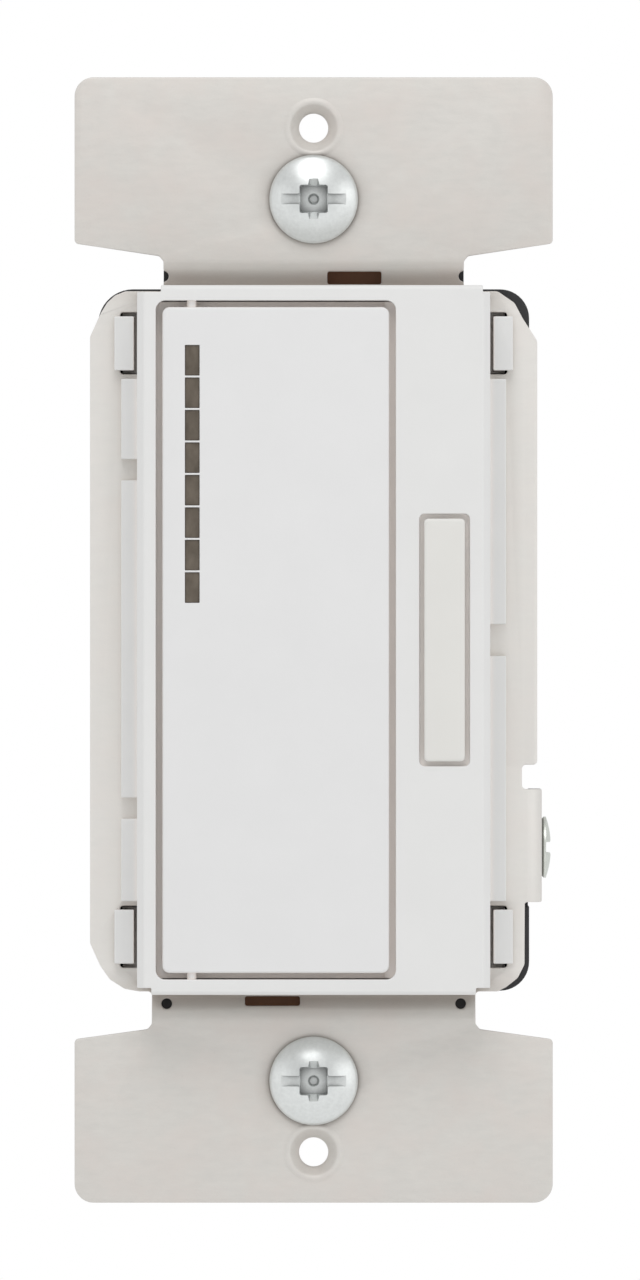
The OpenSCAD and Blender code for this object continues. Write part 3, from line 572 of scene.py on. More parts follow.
MATERIALS = {
    "strap_metal": strap_metal(),
    "face_plastic": plastic("face_plastic", linear(228, 228, 227), mottle=0.01, wear_and_highlight=0.06, painted_crease_tone=0.8),
    "paddle_plastic": plastic("paddle_plastic", linear(228, 228, 228), mottle=0.01, wear_and_highlight=0.08, painted_crease_tone=0.8),
    "rocker_plastic": plastic("rocker_plastic", linear(225, 224, 220), mottle=0.012, wear_and_highlight=0.08, painted_crease_tone=0.6),
    "smoked_lens": smoked_lens(),
    "board_laminate": laminate("board_laminate", linear(84, 62, 48), linear(104, 78, 60), 1.6),
    "power_laminate": laminate("power_laminate", linear(176, 148, 96), linear(196, 170, 118), 2.8),
    "lamp_package": plastic("lamp_package", linear(238, 232, 200), roughness=0.2, coat=0.6),
    "black_epoxy": plastic("black_epoxy", linear(38, 38, 40), roughness=0.5, mottle=0.1, wear_and_highlight=0.25),
    "button_plastic": plastic("button_plastic", linear(56, 56, 60), roughness=0.45, mottle=0.08, wear_and_highlight=0.3),
    "spacer_film": plastic("spacer_film", linear(226, 222, 204), roughness=0.35, mottle=0.04),
    # The insulating sheet's dark brown is partly painted shade: it stands for the shadow seen through the
    # slots in the strap's bends
    "vulcanised_fibre": plastic("vulcanised_fibre", linear(104, 70, 48), roughness=0.7,
                                mottle=0.15, depth=0.012),
    "pin_brass": metal("pin_brass", linear(226, 196, 120), roughness=0.25),
    "thermal_rubber": plastic("thermal_rubber", linear(168, 172, 178), roughness=0.8, mottle=0.06,
                              depth=0.015),
    "tinned_metal": metal("tinned_metal", linear(204, 206, 208), roughness=0.35, mottle=0.08),
    "screw_steel": metal("screw_steel", ZINC, roughness=0.36, metallic=0.8, depth=0.003, tarnish=0.06,
                         crease=1.4, shade=0.9),
    "choke_ferrite": plastic("choke_ferrite", linear(70, 76, 70), roughness=0.6, mottle=0.1, depth=0.02),
    "enamelled_copper": metal("enamelled_copper", linear(196, 116, 62), roughness=0.2, size=0.8),
    "capacitor_case": plastic("capacitor_case", linear(226, 188, 62), roughness=0.4, mottle=0.05),
    "capacitor_sleeve": plastic("capacitor_sleeve", linear(44, 56, 92), roughness=0.25,
                                mottle=0.08, coat=0.4),
    "varistor_coating": plastic("varistor_coating", linear(52, 98, 168), roughness=0.45,
                                mottle=0.1, depth=0.03),
    "fuse_ceramic": plastic("fuse_ceramic", linear(222, 218, 204), roughness=0.3, mottle=0.04, coat=0.3),
    "housing_plastic": plastic("housing_plastic", linear(46, 46, 48), roughness=0.55, mottle=0.08, grain=0.3,
                               depth=0.02, wear_and_highlight=0.25),
    "terminal_brass": metal("terminal_brass", linear(214, 182, 106), roughness=0.3, mottle=0.08,
                            tarnish=0.3),
    "clamp_steel": metal("clamp_steel", linear(188, 190, 188), roughness=0.38, mottle=0.08, tarnish=0.25),
    "ground_green": metal("ground_green", linear(232, 236, 229), roughness=0.36, metallic=0.7, mottle=0.05,
                          tarnish=0.08),
    "retainer_fibre": plastic("retainer_fibre", linear(222, 216, 196), roughness=0.7, mottle=0.08,
                              depth=0.02),
}

SLOT_OF = {part["node"]: part["material_slot"] for part in frame["record"]["subparts"]}
BODY_OF = {node: body for body, nodes in frame["record"]["behaviour"]["bodies"].items() for node in nodes}


def dress(made, slot_name):
    made.data.materials.clear()
    made.data.materials.append(MATERIALS[slot_name])


def place(made, node, angle=35):
    """Hands a finished piece to the frame: it stands for one CAD node and rides on its body."""
    smooth(made, angle)
    moved(made, Matrix.Scale(MM, 4))
    made.name = node + "_piece"
    made.data.name = made.name
    dress(made, SLOT_OF[node])
    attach(made, BODY_OF[node])
    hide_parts(node)
    return made


def keep(node, edge):
    """Keeps a CAD node's shape, with rounded edges and its material."""
    made = frame["nodes"][node]
    dress(made, SLOT_OF[node])
    round_edges(made, edge * MM, clean=True)


# ---- Mounting strap ----

# The strap is cut out flat, with its front at y = 0, and then folded like sheet metal.
FOLD_X = 19.9
FOLD_INNER_R = STRAP_HIGH.x - 1.0 - FOLD_X - STRAP_T
FOLD_OUTER_R = FOLD_INNER_R + STRAP_T
FOLD_L = (FOLD_INNER_R + STRAP_T / 2) * math.pi / 2


def flat_x(depth):
    """Where a point of the folded ear lies in the flat pattern."""
    return FOLD_X + FOLD_L + depth - MIDDLE_FRONT - FOLD_OUTER_R


def strap_outline():
    """Flat pattern (x, z) of the strap before its slots and holes are cut."""
    corner, tight, soft = 1.8, 0.4, 0.8
    upper_left = [(-MIDDLE_HALF_W, 28.7, soft), (-20.15, 30.9, soft), (-19.55, 31.9, soft),
                  (-18.8, 32.6, soft), (-17.8, 33.0, soft), (-14.2, 33.0, tight), (-14.2, 35.8, tight),
                  (-14.6, 36.3, tight), (-PLATE_HALF_W, 37.5, tight), (-PLATE_HALF_W, STRAP_HALF_L, corner)]
    upper_right = [(PLATE_HALF_W, STRAP_HALF_L, corner), (PLATE_HALF_W, 37.5, tight), (14.6, 36.3, tight),
                   (14.2, 35.8, tight), (14.2, 33.0, tight), (17.4, 33.0, soft), (19.0, 31.9, soft),
                   (19.8, 30.4, soft), (MIDDLE_HALF_W, 28.3, soft), (MIDDLE_HALF_W, -11.8, tight),
                   (19.7, -11.8, tight), (19.7, EAR_Z[1], tight)]
    ear_end = flat_x(EAR_BACK)
    ear = [(ear_end, EAR_Z[1], 1.6), (ear_end, EAR_Z[0], 1.6)]
    lower_right = [(19.95, EAR_Z[0], 0.2), (19.95, -30.7, soft), (19.3, -31.98, soft), (18.2, -32.85, soft),
                   (17.4, -33.25, tight), (15.3, -33.25, tight), (15.3, -36.3, tight), (15.7, -36.8, tight),
                   (PLATE_HALF_W, -37.75, tight), (PLATE_HALF_W, -STRAP_HALF_L, corner)]
    lower_left = [(-PLATE_HALF_W, -STRAP_HALF_L, corner), (-PLATE_HALF_W, -37.75, tight),
                  (-15.7, -36.8, tight), (-15.3, -36.3, tight), (-15.3, -33.25, tight),
                  (-16.5, -33.25, tight), (-17.9, -33.0, soft), (-19.3, -32.1, soft),
                  (-20.2, -30.8, soft), (-MIDDLE_HALF_W, -28.7, soft)]
    return rounded(upper_left + upper_right + ear + lower_right + lower_left)


def tidy_mesh(made, distance=0.004):
    """Merges doubled points and joins faces that lie in one plane."""
    bm = bmesh.new()
    bm.from_mesh(made.data)
    bmesh.ops.remove_doubles(bm, verts=bm.verts, dist=distance)
    bmesh.ops.dissolve_degenerate(bm, edges=bm.edges, dist=distance)
    bmesh.ops.dissolve_limit(bm, angle_limit=math.radians(0.5), verts=bm.verts, edges=bm.edges)
    bm.to_mesh(made.data)
    bm.free()


def slice_mesh(made, axis, places):
    """Cuts edges into a mesh where it crosses planes at right angles to an axis."""
    bm = bmesh.new()
    bm.from_mesh(made.data)
    normal = Vector([1 if i == axis else 0 for i in range(3)])
    for place_at in places:
        geometry = bm.verts[:] + bm.edges[:] + bm.faces[:]
        bmesh.ops.bisect_plane(bm, geom=geometry, plane_co=normal * place_at, plane_no=normal, dist=1e-4)
    bm.to_mesh(made.data)
    bm.free()


def fold_strap(made):
    """Bends the ear back and steps the middle of the strap back behind its plates."""
    cuts = 10
    slice_mesh(made, 0, [FOLD_X + FOLD_L * k / cuts for k in range(cuts + 1)])
    steps = [STEP_FROM + (STEP_TO - STEP_FROM) * k / cuts for k in range(cuts + 1)]
    slice_mesh(made, 2, steps + [-z for z in steps])
    for vert in made.data.vertices:
        x, y, z = vert.co
        if x > FOLD_X and EAR_Z[0] - 0.5 < z < EAR_Z[1] + 0.5:
            radius = FOLD_OUTER_R - y
            angle = min(x - FOLD_X, FOLD_L) / FOLD_L * math.pi / 2
            straight = max(0, x - FOLD_X - FOLD_L)
            x = FOLD_X + radius * math.sin(angle)
            y = FOLD_OUTER_R - radius * math.cos(angle) + straight
        share = min(1, max(0, (abs(z) - STEP_FROM) / (STEP_TO - STEP_FROM)))
        eased = share * share * (3 - 2 * share)
        vert.co = (x, y + MIDDLE_FRONT + (PLATE_FRONT - MIDDLE_FRONT) * eased, z)
    made.data.update()


def wall_plate_hole(made, z):
    """Pierced and tapped hole with a low raised rim, sunk in front, and a collar behind."""
    crest = PLATE_FRONT - 0.15
    rim = lathe([(2.95, PLATE_FRONT + 0.4), (2.95, PLATE_FRONT + 0.02), (2.8, PLATE_FRONT - 0.02),
                 (2.62, crest + 0.03), (2.45, crest), (2.3, crest + 0.02), (1.0, crest + 0.3),
                 (1.0, PLATE_FRONT + 0.4)], 0, z)
    combine(made, rim, "UNION")
    collar = lathe([(2.3, -0.3), (2.3, 0.1), (2.1, 0.75), (1.9, 0.9), (1.0, 0.9), (1.0, -0.3)], 0, z)
    combine(made, collar, "UNION")
    cutter = lathe([(2.5, crest - 0.3), (2.36, crest), (2.22, crest + 0.08), (2.08, crest + 0.28),
                    (1.62, PLATE_FRONT + 0.75), (1.44, PLATE_FRONT + 0.95),
                    (PLATE_HOLE_R, PLATE_FRONT + 1.15), (PLATE_HOLE_R, 0.7), (1.7, 1.1)], 0, z)
    combine(made, cutter)


def mounting_strap():
    """Stamped strap: two plates, the stepped middle and the ground ear."""
    front, back = -1, STRAP_T + 1
    made = prism(strap_outline(), 0, STRAP_T)
    slot_half_w, slot_r = 3.2, 2.0
    openings = [rectangle(-slot_half_w, slot_half_w, z - slot_r, z + slot_r, slot_r - 0.01)
                for z in (BOX_SCREW_Z, -BOX_SCREW_Z)]
    # Slots for the face's snap arms
    arm_low, arm_high = (15.1, 25.15), (18.3, 31.0)
    for side in (-1, 1):
        x_low, x_high = sorted((side * arm_low[0], side * arm_high[0]))
        for end in (-1, 1):
            z_low, z_high = sorted((end * arm_low[1], end * arm_high[1]))
            openings.append(rectangle(x_low, x_high, z_low, z_high, 0.3))
    # Window for the pins between the boards, and the slots in the bends
    openings.append(rectangle(-10.2, -5.8, -27.0, -13.6, 0.8))
    openings.append(rectangle(1.3, 6.4, BEND_Z - 0.1, BEND_Z + 1.1, 0.2))
    openings.append(rectangle(-6.5, -1.3, -BEND_Z - 0.85, -BEND_Z + 0.05, 0.2))
    relief_r, screw_r = 0.5, 1.25
    for side in (-1, 1):
        openings.append(disc(side * 14.2, BEND_Z + 0.65, relief_r, 24))
        openings.append(disc(side * 13.9, -BEND_Z - 0.65, relief_r, 24))
        openings += [disc(side * 9.5, end * 30, screw_r, 24) for end in (-1, 1)]
    openings.append(disc(6, 21.5, 1.5, 24))
    ground = sum(node_box("ground_screw"), Vector()) / 2
    openings.append(disc(flat_x(ground.y), ground.z, 1.8, 32))
    for outline in openings:
        combine(made, prism(outline, front, back))
    tidy_mesh(made)
    round_edges(made, 0.14, angle=50)
    bake(made)
    fold_strap(made)
    for end in (-1, 1):
        wall_plate_hole(made, end * PLATE_HOLE_Z)
    place(made, "mounting_strap", angle=30)


# ---- Screws ----

def star(radius, arm, waist):
    """Four-armed outline of a cross recess."""
    quarter = [(radius, -arm), (radius, arm), (waist, waist)]
    points = []
    for k in range(4):
        turn = Matrix.Rotation(math.pi / 2 * k, 2)
        points += [turn @ Vector(p) for p in quarter]
    return points


def cross_recess(radius, arm, depth, top, taper=0.35):
    """Tapering cross that is cut into a head whose top is at the given depth."""
    wide = star(radius, arm, arm * 1.5)
    narrow = star(radius * taper, arm * 0.5, arm * 0.55)
    return loft([wide, wide, narrow], [top - 1, top, top + depth])


def box_screw(node):
    """Pan-head screw that takes a flat, cross or square driver, and has a rolled thread."""
    low, high = node_box(node)
    z = (low.z + high.z) / 2
    head_r = (high.x - low.x) / 2
    seat = PLATE_FRONT - 0.02
    top = low.y
    rise = 1.55
    profile = [(0, seat), (head_r - 0.25, seat), (head_r - 0.05, seat - 0.1), (head_r, seat - 0.28)]
    profile += [(r * (head_r - 0.04) / head_r, top + rise - h) for r, h in dome(head_r, rise, 14)]
    made = lathe(profile, 0, 0, steps=96)
    slot_half_l, slot_half_w = 3.55, 0.5
    slot = rectangle(-slot_half_l, slot_half_l, -slot_half_w, slot_half_w, 0.12)
    combine(made, prism(slot, top - 1, top + 0.8))
    combine(made, cross_recess(radius=2.15, arm=0.45, depth=1.3, top=top + 0.1))
    mouth, bottom = [rectangle(-half, half, -half, half, 0.2) for half in (1.36, 1.2)]
    combine(made, loft([mouth, mouth, bottom], [top - 1, top + 0.1, top + 1.5]))
    pit = lathe([(0.55, top + 0.5), (0.55, top + 1.5), (0.1, top + 2.3)], 0, 0, steps=24)
    combine(made, pit)
    neck = lathe([(0, seat - 0.1), (1.33, seat - 0.1), (1.33, 1.0), (0, 1.0)], 0, 0, steps=48)
    rod = moved(threaded_rod(high.y - 0.7, BOX_THREAD_R), shift(0, 0.7, 0))
    combine(made, neck, "UNION")
    combine(made, rod, "UNION")
    moved(made, shift(0, 0, z))
    place(made, node, angle=40)


def side_screw(node, head_h, thread_r):
    """Terminal screw along X: a binding head with a combined slot and cross."""
    low, high = node_box(node)
    side = 1 if high.x > 0 else -1
    length = high.x - low.x
    head_r = (high.z - low.z) / 2
    rim_h = head_h * 0.45
    profile = [(0, 0), (head_r - 0.2, 0), (head_r, -0.2), (head_r, -rim_h)]
    profile += [(r, -rim_h - h) for r, h in dome(head_r - 0.02, head_h - rim_h)]
    made = lathe(profile, 0, 0, steps=64)
    combine(made, prism(rectangle(-head_r - 1, head_r + 1, -0.5, 0.5), -head_h - 1, -rim_h))
    combine(made, cross_recess(radius=1.9, arm=0.45, depth=head_h * 0.75, top=0.05 - head_h))
    rod = moved(threaded_rod(length - head_h + 0.3, thread_r), shift(0, -0.3, 0))
    combine(made, rod, "UNION")
    # Turn the screw's outward -Y end toward its side of the device
    moved(made, Matrix.Rotation(math.pi / 2 * side, 4, "Z"))
    outer = high.x if side > 0 else low.x
    moved(made, shift(outer - side * head_h, (low.y + high.y) / 2, (low.z + high.z) / 2))
    place(made, node, angle=40)


def cross_screws(node, centres, head_r, seat, head_h, thread_r, tip):
    """Pan-head cross screws along Y, driven from behind."""
    rim_h = head_h * 0.4
    profile = [(0, 0), (head_r - 0.15, 0), (head_r, -0.15), (head_r, -rim_h)]
    profile += [(r, -rim_h - h) for r, h in dome(head_r - 0.02, head_h - rim_h)]
    parts = []
    for x, z in centres:
        made = lathe(profile, 0, 0, steps=48)
        combine(made, cross_recess(head_r * 0.62, arm=0.36, depth=head_h * 0.8, top=0.05 - head_h))
        rod = moved(threaded_rod(abs(tip - seat) + 0.2, thread_r), shift(0, -0.2, 0))
        combine(made, rod, "UNION")
        moved(made, shift(x, seat, z) @ Matrix.Rotation(math.pi, 4, "Z"))
        parts.append(made)
    place(joined(parts), node, angle=40)


# ---- Inner components ----

def choke():
    """Toroid with one continuous winding round it."""
    low, high = node_box("choke_core")
    centre = (low + high) / 2
    outer_r = (high.x - low.x) / 2
    inner_r = 4.6
    ring = rectangle(inner_r, outer_r, low.y, high.y, 0.6)
    steps = 96
    verts = []
    for k in range(steps):
        angle = math.tau * k / steps
        verts += [(centre.x + r * math.cos(angle), y, centre.z + r * math.sin(angle)) for r, y in ring]
    place(solid(verts, skin(steps, len(ring), closed=True)), "choke_core")

    wire_r, turns, per_turn = 0.36, 24, 24
    half_w = (outer_r - inner_r) / 2 + wire_r + 0.04
    half_h = (high.y - low.y) / 2 + wire_r + 0.04
    middle_r = (outer_r + inner_r) / 2
    path = []
    for k in range(turns * per_turn + 1):
        share = k / per_turn
        turn = math.tau * share
        round_angle = math.radians(15 + 330 * share / turns)
        # A superellipse keeps the wire close to the core's flat sides
        u = math.copysign(abs(math.cos(turn)) ** 0.4, math.cos(turn)) * half_w
        v = math.copysign(abs(math.sin(turn)) ** 0.4, math.sin(turn)) * half_h
        r = middle_r + u
        path.append(Vector((centre.x + r * math.cos(round_angle), centre.y + v,
                            centre.z + r * math.sin(round_angle))))
    place(tube(path, wire_r), "choke_winding", angle=60)


def moulded_block(node, corner, edge):
    """Moulded case that fills its CAD node's box, with rounded corners and ends."""
    low, high = node_box(node)
    return soft_prism(rectangle(low.x, high.x, low.z, high.z, corner), low.y, high.y, edge)


def film_capacitor():
    made = moulded_block("film_capacitor", 0.8, 0.35)
    low, high = node_box("film_capacitor")
    # Shallow recess that the case's resin is poured into
    inset = 0.9
    combine(made, prism(rectangle(low.x + inset, high.x - inset, low.z + inset, high.z - inset, 0.5),
                        low.y - 1, low.y + 0.25))
    place(made, "film_capacitor")


def filter_capacitor():
    """Can in a shrunk sleeve, with a rolled rim and a scored end."""
    low, high = node_box("filter_capacitor")
    r = (high.x - low.x) / 2
    front, back = low.y, high.y
    profile = [(0, front + 0.3), (r - 0.9, front + 0.3), (r - 0.75, front + 0.05), (r - 0.4, front),
               (r - 0.1, front + 0.15), (r, front + 0.5), (r, back - 2.0), (r - 0.3, back - 1.7),
               (r - 0.3, back - 1.3), (r, back - 1.0), (r, back), (0, back)]
    x, z = (low.x + high.x) / 2, (low.z + high.z) / 2
    made = lathe(profile, x, z)
    for angle in (0, 60, 120):
        cutter = prism(rectangle(-r * 0.62, r * 0.62, -0.12, 0.12), front - 1, front + 0.42)
        moved(cutter, shift(x, 0, z) @ Matrix.Rotation(math.radians(angle), 4, "Y"))
        combine(made, cutter)
    place(made, "filter_capacitor")


def surge_varistor():
    """Dipped disc: a lens shape with drips down its leads."""
    low, high = node_box("surge_varistor")
    disc_r = (high.z - low.z) / 2
    x, y, z = (low.x + high.x) / 2, low.y + disc_r, (low.z + high.z) / 2
    half_t = (high.x - low.x) / 2
    profile = [(0, x - half_t)]
    for k in range(13):
        angle = math.pi * k / 12
        swell = half_t * 0.8 * (math.sin(angle) - 1)
        profile.append((disc_r + swell, x - half_t * math.cos(angle)))
    profile.append((0, x + half_t))
    made = lathe(profile, y, z, axis="x")
    for offset in (-2.5, 2.5):
        drip = [(0.9, y + 3.2), (0.75, y + 5.2), (0.4, y + 6.2), (0.4, high.y)]
        combine(made, lathe(drip, x, z + offset, steps=16), "UNION")
    place(made, "surge_varistor")


def fuse_link():
    """Ceramic fuse body with crimped end caps and two leads."""
    low, high = node_box("fuse_link")
    r = (high.z - low.z) / 2
    y, z = low.y + r, (low.z + high.z) / 2
    cap, step = 1.9, 0.18
    end = [(0, 0), (r - 0.3, 0), (r, 0.3), (r, cap), (r - step, cap + 0.1)]
    profile = [(radius, low.x + depth) for radius, depth in end]
    profile += [(radius, high.x - depth) for radius, depth in reversed(end)]
    made = lathe(profile, y, z, axis="x", steps=48)
    for x in (low.x + 0.8, high.x - 0.8):
        combine(made, lathe([(0.4, y), (0.4, high.y)], x, z, steps=20), "UNION")
    place(made, "fuse_link")


def chip(node, leads_each_side, lead_w):
    """Flat chip with a chamfered body, a corner dimple and gull-wing leads."""
    low, high = node_box(node)
    top, foot = low.y, high.y
    inset, chamfer = 0.55, 0.15
    left, right = low.x + inset, high.x - inset
    bottom, roof = low.z + inset, high.z - inset
    outline = rectangle(left, right, bottom, roof)
    inner = rectangle(left + chamfer, right - chamfer, bottom + chamfer, roof - chamfer)
    made = loft([inner, outline, outline, inner], [top, top + 0.3, foot - 0.35, foot - 0.12])
    combine(made, lathe([(0.35, top - 0.5), (0.35, top + 0.08)], left + 0.9, roof - 0.9, steps=20))
    parts = [made]
    reach = inset + 0.3
    shape = [(0, foot - 0.5), (reach * 0.45, foot - 0.5), (reach * 0.6, foot - 0.16), (reach, foot - 0.16),
             (reach, foot), (reach * 0.5, foot), (reach * 0.35, foot - 0.34), (0, foot - 0.34)]
    for k in range(leads_each_side):
        offset = (k + 0.5) / leads_each_side
        for side in (-1, 1):
            edge_x = (high.x if side > 0 else low.x) - side * reach
            z = bottom + (roof - bottom) * offset
            profile = [Vector((edge_x + side * u, v)) for u, v in shape]
            lead = prism(profile, z - lead_w / 2, z + lead_w / 2, axis="z")
            parts.append(lead)
    place(joined(parts), node)


def triac_body():
    low, high = node_box("triac_body")
    outline = rectangle(low.x, high.x, low.z, high.z, 0.15)
    slim = rectangle(low.x + 0.3, high.x - 0.3, low.z + 0.3, high.z - 0.3, 0.15)
    made = loft([outline, outline, slim], [low.y, low.y + 1.6, high.y])
    dimple = [(0.7, high.y - 0.25), (0.7, high.y + 0.5)]
    combine(made, lathe(dimple, (low.x + high.x) / 2, high.z - 2.2, steps=32))
    place(made, "triac_body")


def indicator_leds():
    """Surface-mount lamps: a white body with a clear domed lens."""
    low, high = node_box("indicator_leds")
    body_l, bulb_r = 1.6, 0.42
    x = (low.x + high.x) / 2
    bulb = [(bulb_r, high.y - 0.28)] + [(r, high.y - 0.3 - h) for r, h in dome(bulb_r, 0.3, 5)]
    parts = []
    for z in window_middles():
        body = prism(rectangle(low.x, high.x, z - body_l / 2, z + body_l / 2, 0.1), high.y - 0.3, high.y)
        combine(body, lathe(bulb, x, z, steps=24), "UNION")
        parts.append(body)
    place(joined(parts), "indicator_leds")


# ---- Paddle ----

def window_middles():
    """Heights of the middles of the indicator's windows."""
    return [WINDOW_BOTTOM + WINDOW_L / 2 + k * WINDOW_PITCH for k in range(WINDOW_COUNT)]


def paddle():
    """Large side-hinged plate with a row of windows, a rim behind it and two hinge pins."""
    low, high = node_box("paddle")
    left, right = PADDLE_LEFT, PADDLE_RIGHT
    face, back, rim = FACE_Y, FACE_Y + 1.5, FACE_Y + 3.0
    half_l = PADDLE_HALF_L
    made = soft_prism(rectangle(left, right, -half_l, half_l, 0.7), face, rim, 0.24)
    wall = 1.1
    inside = rectangle(left + wall, right - wall, -half_l + wall, half_l - wall, 0.3)
    combine(made, prism(inside, back, rim + 1))
    window_left, window_right = WINDOW_X - WINDOW_W / 2, WINDOW_X + WINDOW_W / 2
    for z in window_middles():
        combine(made, hole(window_left, window_right, z - WINDOW_L / 2, z + WINDOW_L / 2,
                           face, back + 1, 0.06, 0.05))
    for z in (-20, -10, 10, 20):
        combine(made, block((-8.5, back - 0.1, z - 0.5), (right - 1, back + 1.1, z + 0.5)), "UNION")
    # Pusher over the paddle's switch
    push_y, push_r = -5.23, 0.8
    pusher = lathe([(push_r - 0.2, -1.6), (push_r, -1.4), (push_r, 1.4), (push_r - 0.2, 1.6)],
                   3, push_y - push_r, axis="z", steps=40)
    combine(pusher, block((2.4, back - 0.1, -1.5), (3.6, push_y - 0.3, 1.5)), "UNION")
    combine(made, pusher, "UNION")
    # Flange that closes the gap from behind, and the lip under the frame's right edge
    flange_front, flange_back, flange_l = FACE_Y + 2.0, -5.2, 31.9
    flange = prism(rectangle(low.x, high.x, -flange_l, flange_l), flange_front, flange_back)
    lip = block((right - 0.4, FACE_Y + 1.65, -flange_l), (high.x, flange_front + 0.1, flange_l))
    combine(flange, lip, "UNION")
    opening = rectangle(left + 0.5, right - 0.5, -half_l + 0.5, half_l - 0.5)
    combine(flange, prism(opening, flange_front - 1, flange_back + 1))
    combine(made, flange, "UNION")
    for end in (-1, 1):
        pin = lathe([(HINGE_PIN_R, half_l - 0.5), (HINGE_PIN_R, high.z - 0.1), (HINGE_PIN_R - 0.1, high.z)],
                    HINGE_X, HINGE_Y, axis="z", steps=32)
        if end < 0:
            moved(pin, MIRROR_Z)
        combine(made, pin, "UNION")
    place(made, "paddle", angle=30)


def indicator_lens():
    """Smoked strip behind the paddle with a raised block in each window."""
    low, high = node_box("indicator_lens")
    fit, corner = 0.02, 0.06
    plate_front = FACE_Y + 1.52
    made = soft_prism(rectangle(low.x, high.x, low.z, high.z, 0.3), plate_front, high.y, 0.1)
    for z in window_middles():
        half_w, half_l = WINDOW_W / 2 - fit, WINDOW_L / 2 - fit
        pane = soft_prism(rectangle(WINDOW_X - half_w, WINDOW_X + half_w, z - half_l, z + half_l, corner),
                          low.y, plate_front + 0.3, 0.05)
        combine(made, pane, "UNION")
    place(made, "indicator_lens", angle=30)


# ---- Rocker ----

def rocker():
    """Raise and lower bar: a faintly crowned cap on a narrower stem with a pin through it."""
    low, high = node_box("rocker")
    face, cap_back, back = low.y, FACE_Y + 0.1, -5.6
    crown, edge, corner, steps = 0.08, 0.28, 0.4, 5
    rings, depths = [], []
    for k in range(steps + 1):
        turn = math.pi / 2 * k / steps
        inset = edge * (1 - math.sin(turn))
        half_w, half_l = ROCKER_HALF_W - inset, ROCKER_HALF_L - inset
        rings.append(rectangle(ROCKER_X - half_w, ROCKER_X + half_w, -half_l, half_l, corner - inset * 0.5))
        depths.append(face + crown + edge * (1 - math.cos(turn)))
    rings.append(rings[-1])
    depths.append(cap_back)
    count = len(rings[0])
    verts = [(p[0], w, p[1]) for ring, w in zip(rings, depths) for p in ring]
    faces = skin(len(rings), count, caps=(False, True))
    # The crowned face is a fan toward a raised ridge
    ridge = len(verts)
    verts += [(ROCKER_X, face, -ROCKER_HALF_L + 1.2), (ROCKER_X, face, ROCKER_HALF_L - 1.2)]
    for k in range(count):
        after = (k + 1) % count
        ends = [ridge if verts[i][2] < 0 else ridge + 1 for i in (k, after)]
        faces.append([k, after, ends[0]] if ends[0] == ends[1] else [k, after, ends[1], ends[0]])
    made = solid(verts, faces)
    stem_w, stem_l = ROCKER_HALF_W - 0.45, ROCKER_HALF_L - 0.55
    stem = block((ROCKER_X - stem_w, cap_back - 0.1, -stem_l), (ROCKER_X + stem_w, back, stem_l))
    combine(made, stem, "UNION")
    hub_w = ROCKER_HALF_W - 0.3
    combine(made, block((ROCKER_X - hub_w, back - 0.1, -1.3), (ROCKER_X + hub_w, -4.3, 1.3)), "UNION")
    combine(made, lathe([(0.6, low.x), (0.6, high.x)], -5.0, 0, axis="x", steps=40), "UNION")
    for end in (-1, 1):
        pad = lathe([(0.7, ROCKER_X - 1), (0.7, ROCKER_X + 1)], -5.93, end * 8, axis="x", steps=32)
        combine(made, pad, "UNION")
    place(made, "rocker", angle=30)


# ---- Build ----

mounting_strap()
paddle()
indicator_lens()
rocker()
for screw in ("upper_box_screw", "lower_box_screw"):
    box_screw(screw)
for screw in ("line_screw", "load_screw", "traveler_screw"):
    side_screw(screw, head_h=1.8, thread_r=1.75)
side_screw("ground_screw", head_h=0.9, thread_r=1.75)
cross_screws("housing_screws", [(x, z) for x in (-9.5, 9.5) for z in (-30, 30)],
             head_r=2.3, seat=26.02, head_h=1.88, thread_r=1.2, tip=0.3)
cross_screws("triac_screw", [(6, 21.5)], head_r=2.7, seat=3.12, head_h=1.88, thread_r=1.45, tip=0.3)
choke()
film_capacitor()
filter_capacitor()
surge_varistor()
fuse_link()
chip("microcontroller", leads_each_side=8, lead_w=0.3)
triac_body()
indicator_leds()

KEPT_EDGES = {
    "face_frame": 0.10, "light_baffle": 0.06,
    "control_board": 0.05, "board_spacer_sheet": 0.04, "strap_insulator": 0.05, "power_board": 0.08,
    "thermal_pad": 0.06, "triac_tab": 0.08, "triac_leads": 0.05, "header_block": 0.10, "header_pins": 0.06,
    "paddle_switch_body": 0.12, "raise_switch_body": 0.12, "lower_switch_body": 0.12,
    "paddle_switch_button": 0.15, "raise_switch_button": 0.15, "lower_switch_button": 0.15,
    "rear_housing": 0.08, "screw_retainers": 0.08,
    "line_bracket": 0.10, "load_bracket": 0.10, "traveler_bracket": 0.10,
    "line_clamp": 0.12, "load_clamp": 0.12, "traveler_clamp": 0.12,
}
for kept, width in KEPT_EDGES.items():
    keep(kept, width)


# ---- Stage ----

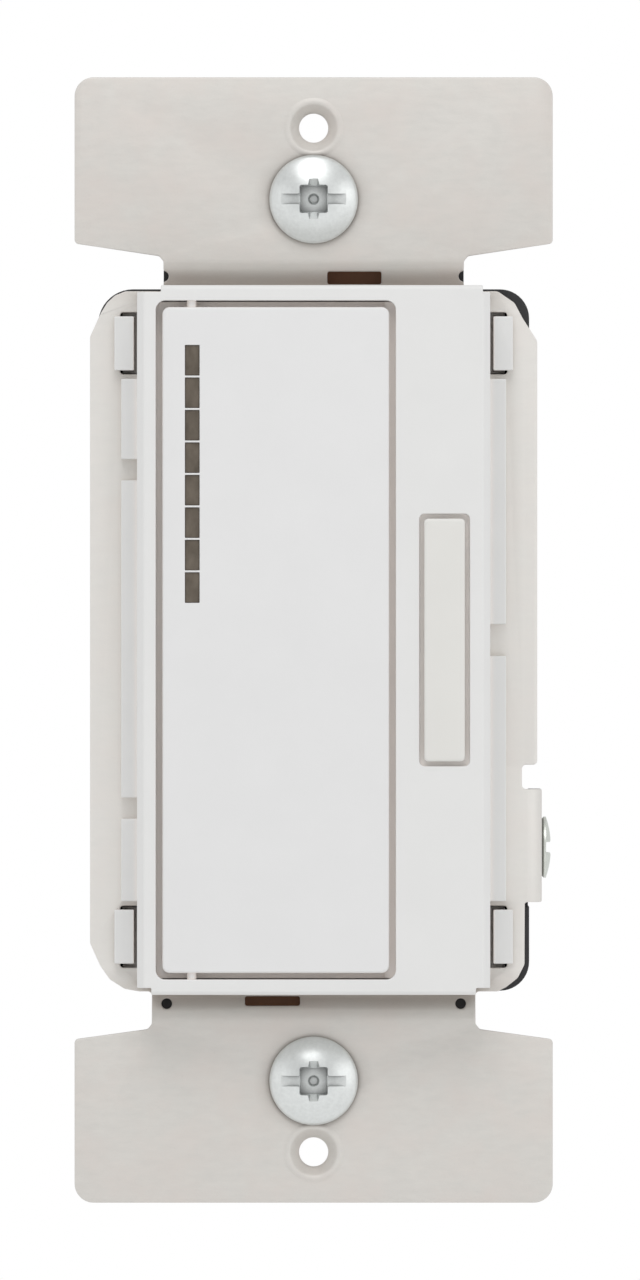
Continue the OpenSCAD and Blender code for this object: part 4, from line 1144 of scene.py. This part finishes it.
def world_light(strength):
    """White backdrop for the camera, with a gentler even light on the object."""
    world = bpy.data.worlds.new("studio")
    world.use_nodes = True
    bpy.context.scene.world = world
    tree = world.node_tree
    backdrop = tree.nodes["Background"]
    backdrop.inputs["Color"].default_value = (1, 1, 1, 1)
    backdrop.inputs["Strength"].default_value = 1.0
    fill = tree.nodes.new("ShaderNodeBackground")
    fill.inputs["Color"].default_value = (1, 1, 1, 1)
    fill.inputs["Strength"].default_value = strength
    rays = tree.nodes.new("ShaderNodeLightPath")
    mix = tree.nodes.new("ShaderNodeMixShader")
    tree.links.new(rays.outputs["Is Camera Ray"], mix.inputs["Fac"])
    tree.links.new(fill.outputs["Background"], mix.inputs[1])
    tree.links.new(backdrop.outputs["Background"], mix.inputs[2])
    tree.links.new(mix.outputs["Shader"], tree.nodes["World Output"].inputs["Surface"])


def area_light(name, place_at, size, power):
    """Round soft light that faces the middle of the object."""
    light = bpy.data.lights.new(name, "AREA")
    light.shape = "DISK"
    light.size = size
    light.energy = power
    made = bpy.data.objects.new(name, light)
    bpy.context.scene.collection.objects.link(made)
    made.location = place_at
    made.rotation_mode = "QUATERNION"
    made.rotation_quaternion = Vector(place_at).to_track_quat("Z", "Y")


def floor():
    """Plain pale floor below the object."""
    half = 1.5
    level = -0.12
    mesh = bpy.data.meshes.new("floor")
    corners = [(-half, -half, level), (half, -half, level), (half, half, level), (-half, half, level)]
    mesh.from_pydata(corners, [], [(0, 1, 2, 3)])
    made = bpy.data.objects.new("floor", mesh)
    bpy.context.scene.collection.objects.link(made)
    shader = Shader("floor_paint")
    tone = shader.noise(60, detail=2)
    shader.colour(shader.mix(tone, (0.90, 0.90, 0.90, 1), (0.94, 0.94, 0.94, 1)))
    shader.set("Roughness", 0.9)
    shader.set("Emission Color", (1, 1, 1, 1))
    shader.set("Emission Strength", 0.1)
    mesh.materials.append(shader.material)


def camera():
    """Long lens, straight at the face."""
    distance = 2.0
    frame_height = 0.121
    aim = Vector((0.0006, PLATE_FRONT * MM, 0))
    data = bpy.data.cameras.new("camera")
    data.sensor_width = 36
    data.lens = data.sensor_width * distance / frame_height
    made = bpy.data.objects.new("camera", data)
    bpy.context.scene.collection.objects.link(made)
    made.location = aim - Vector((0, distance, 0))
    made.rotation_euler = (math.pi / 2, 0, 0)
    data.clip_start = 0.1
    data.clip_end = 10
    bpy.context.scene.camera = made


world_light(strength=0.625)
area_light("key", (-0.03, -0.42, 0.62), size=0.5, power=1.8)
area_light("right_side", (0.75, -0.45, 0.15), size=0.6, power=0.8)
area_light("left_side", (-0.75, -0.45, 0.1), size=0.6, power=0.35)
floor()
camera()
bpy.context.scene.view_settings.view_transform = "Standard"
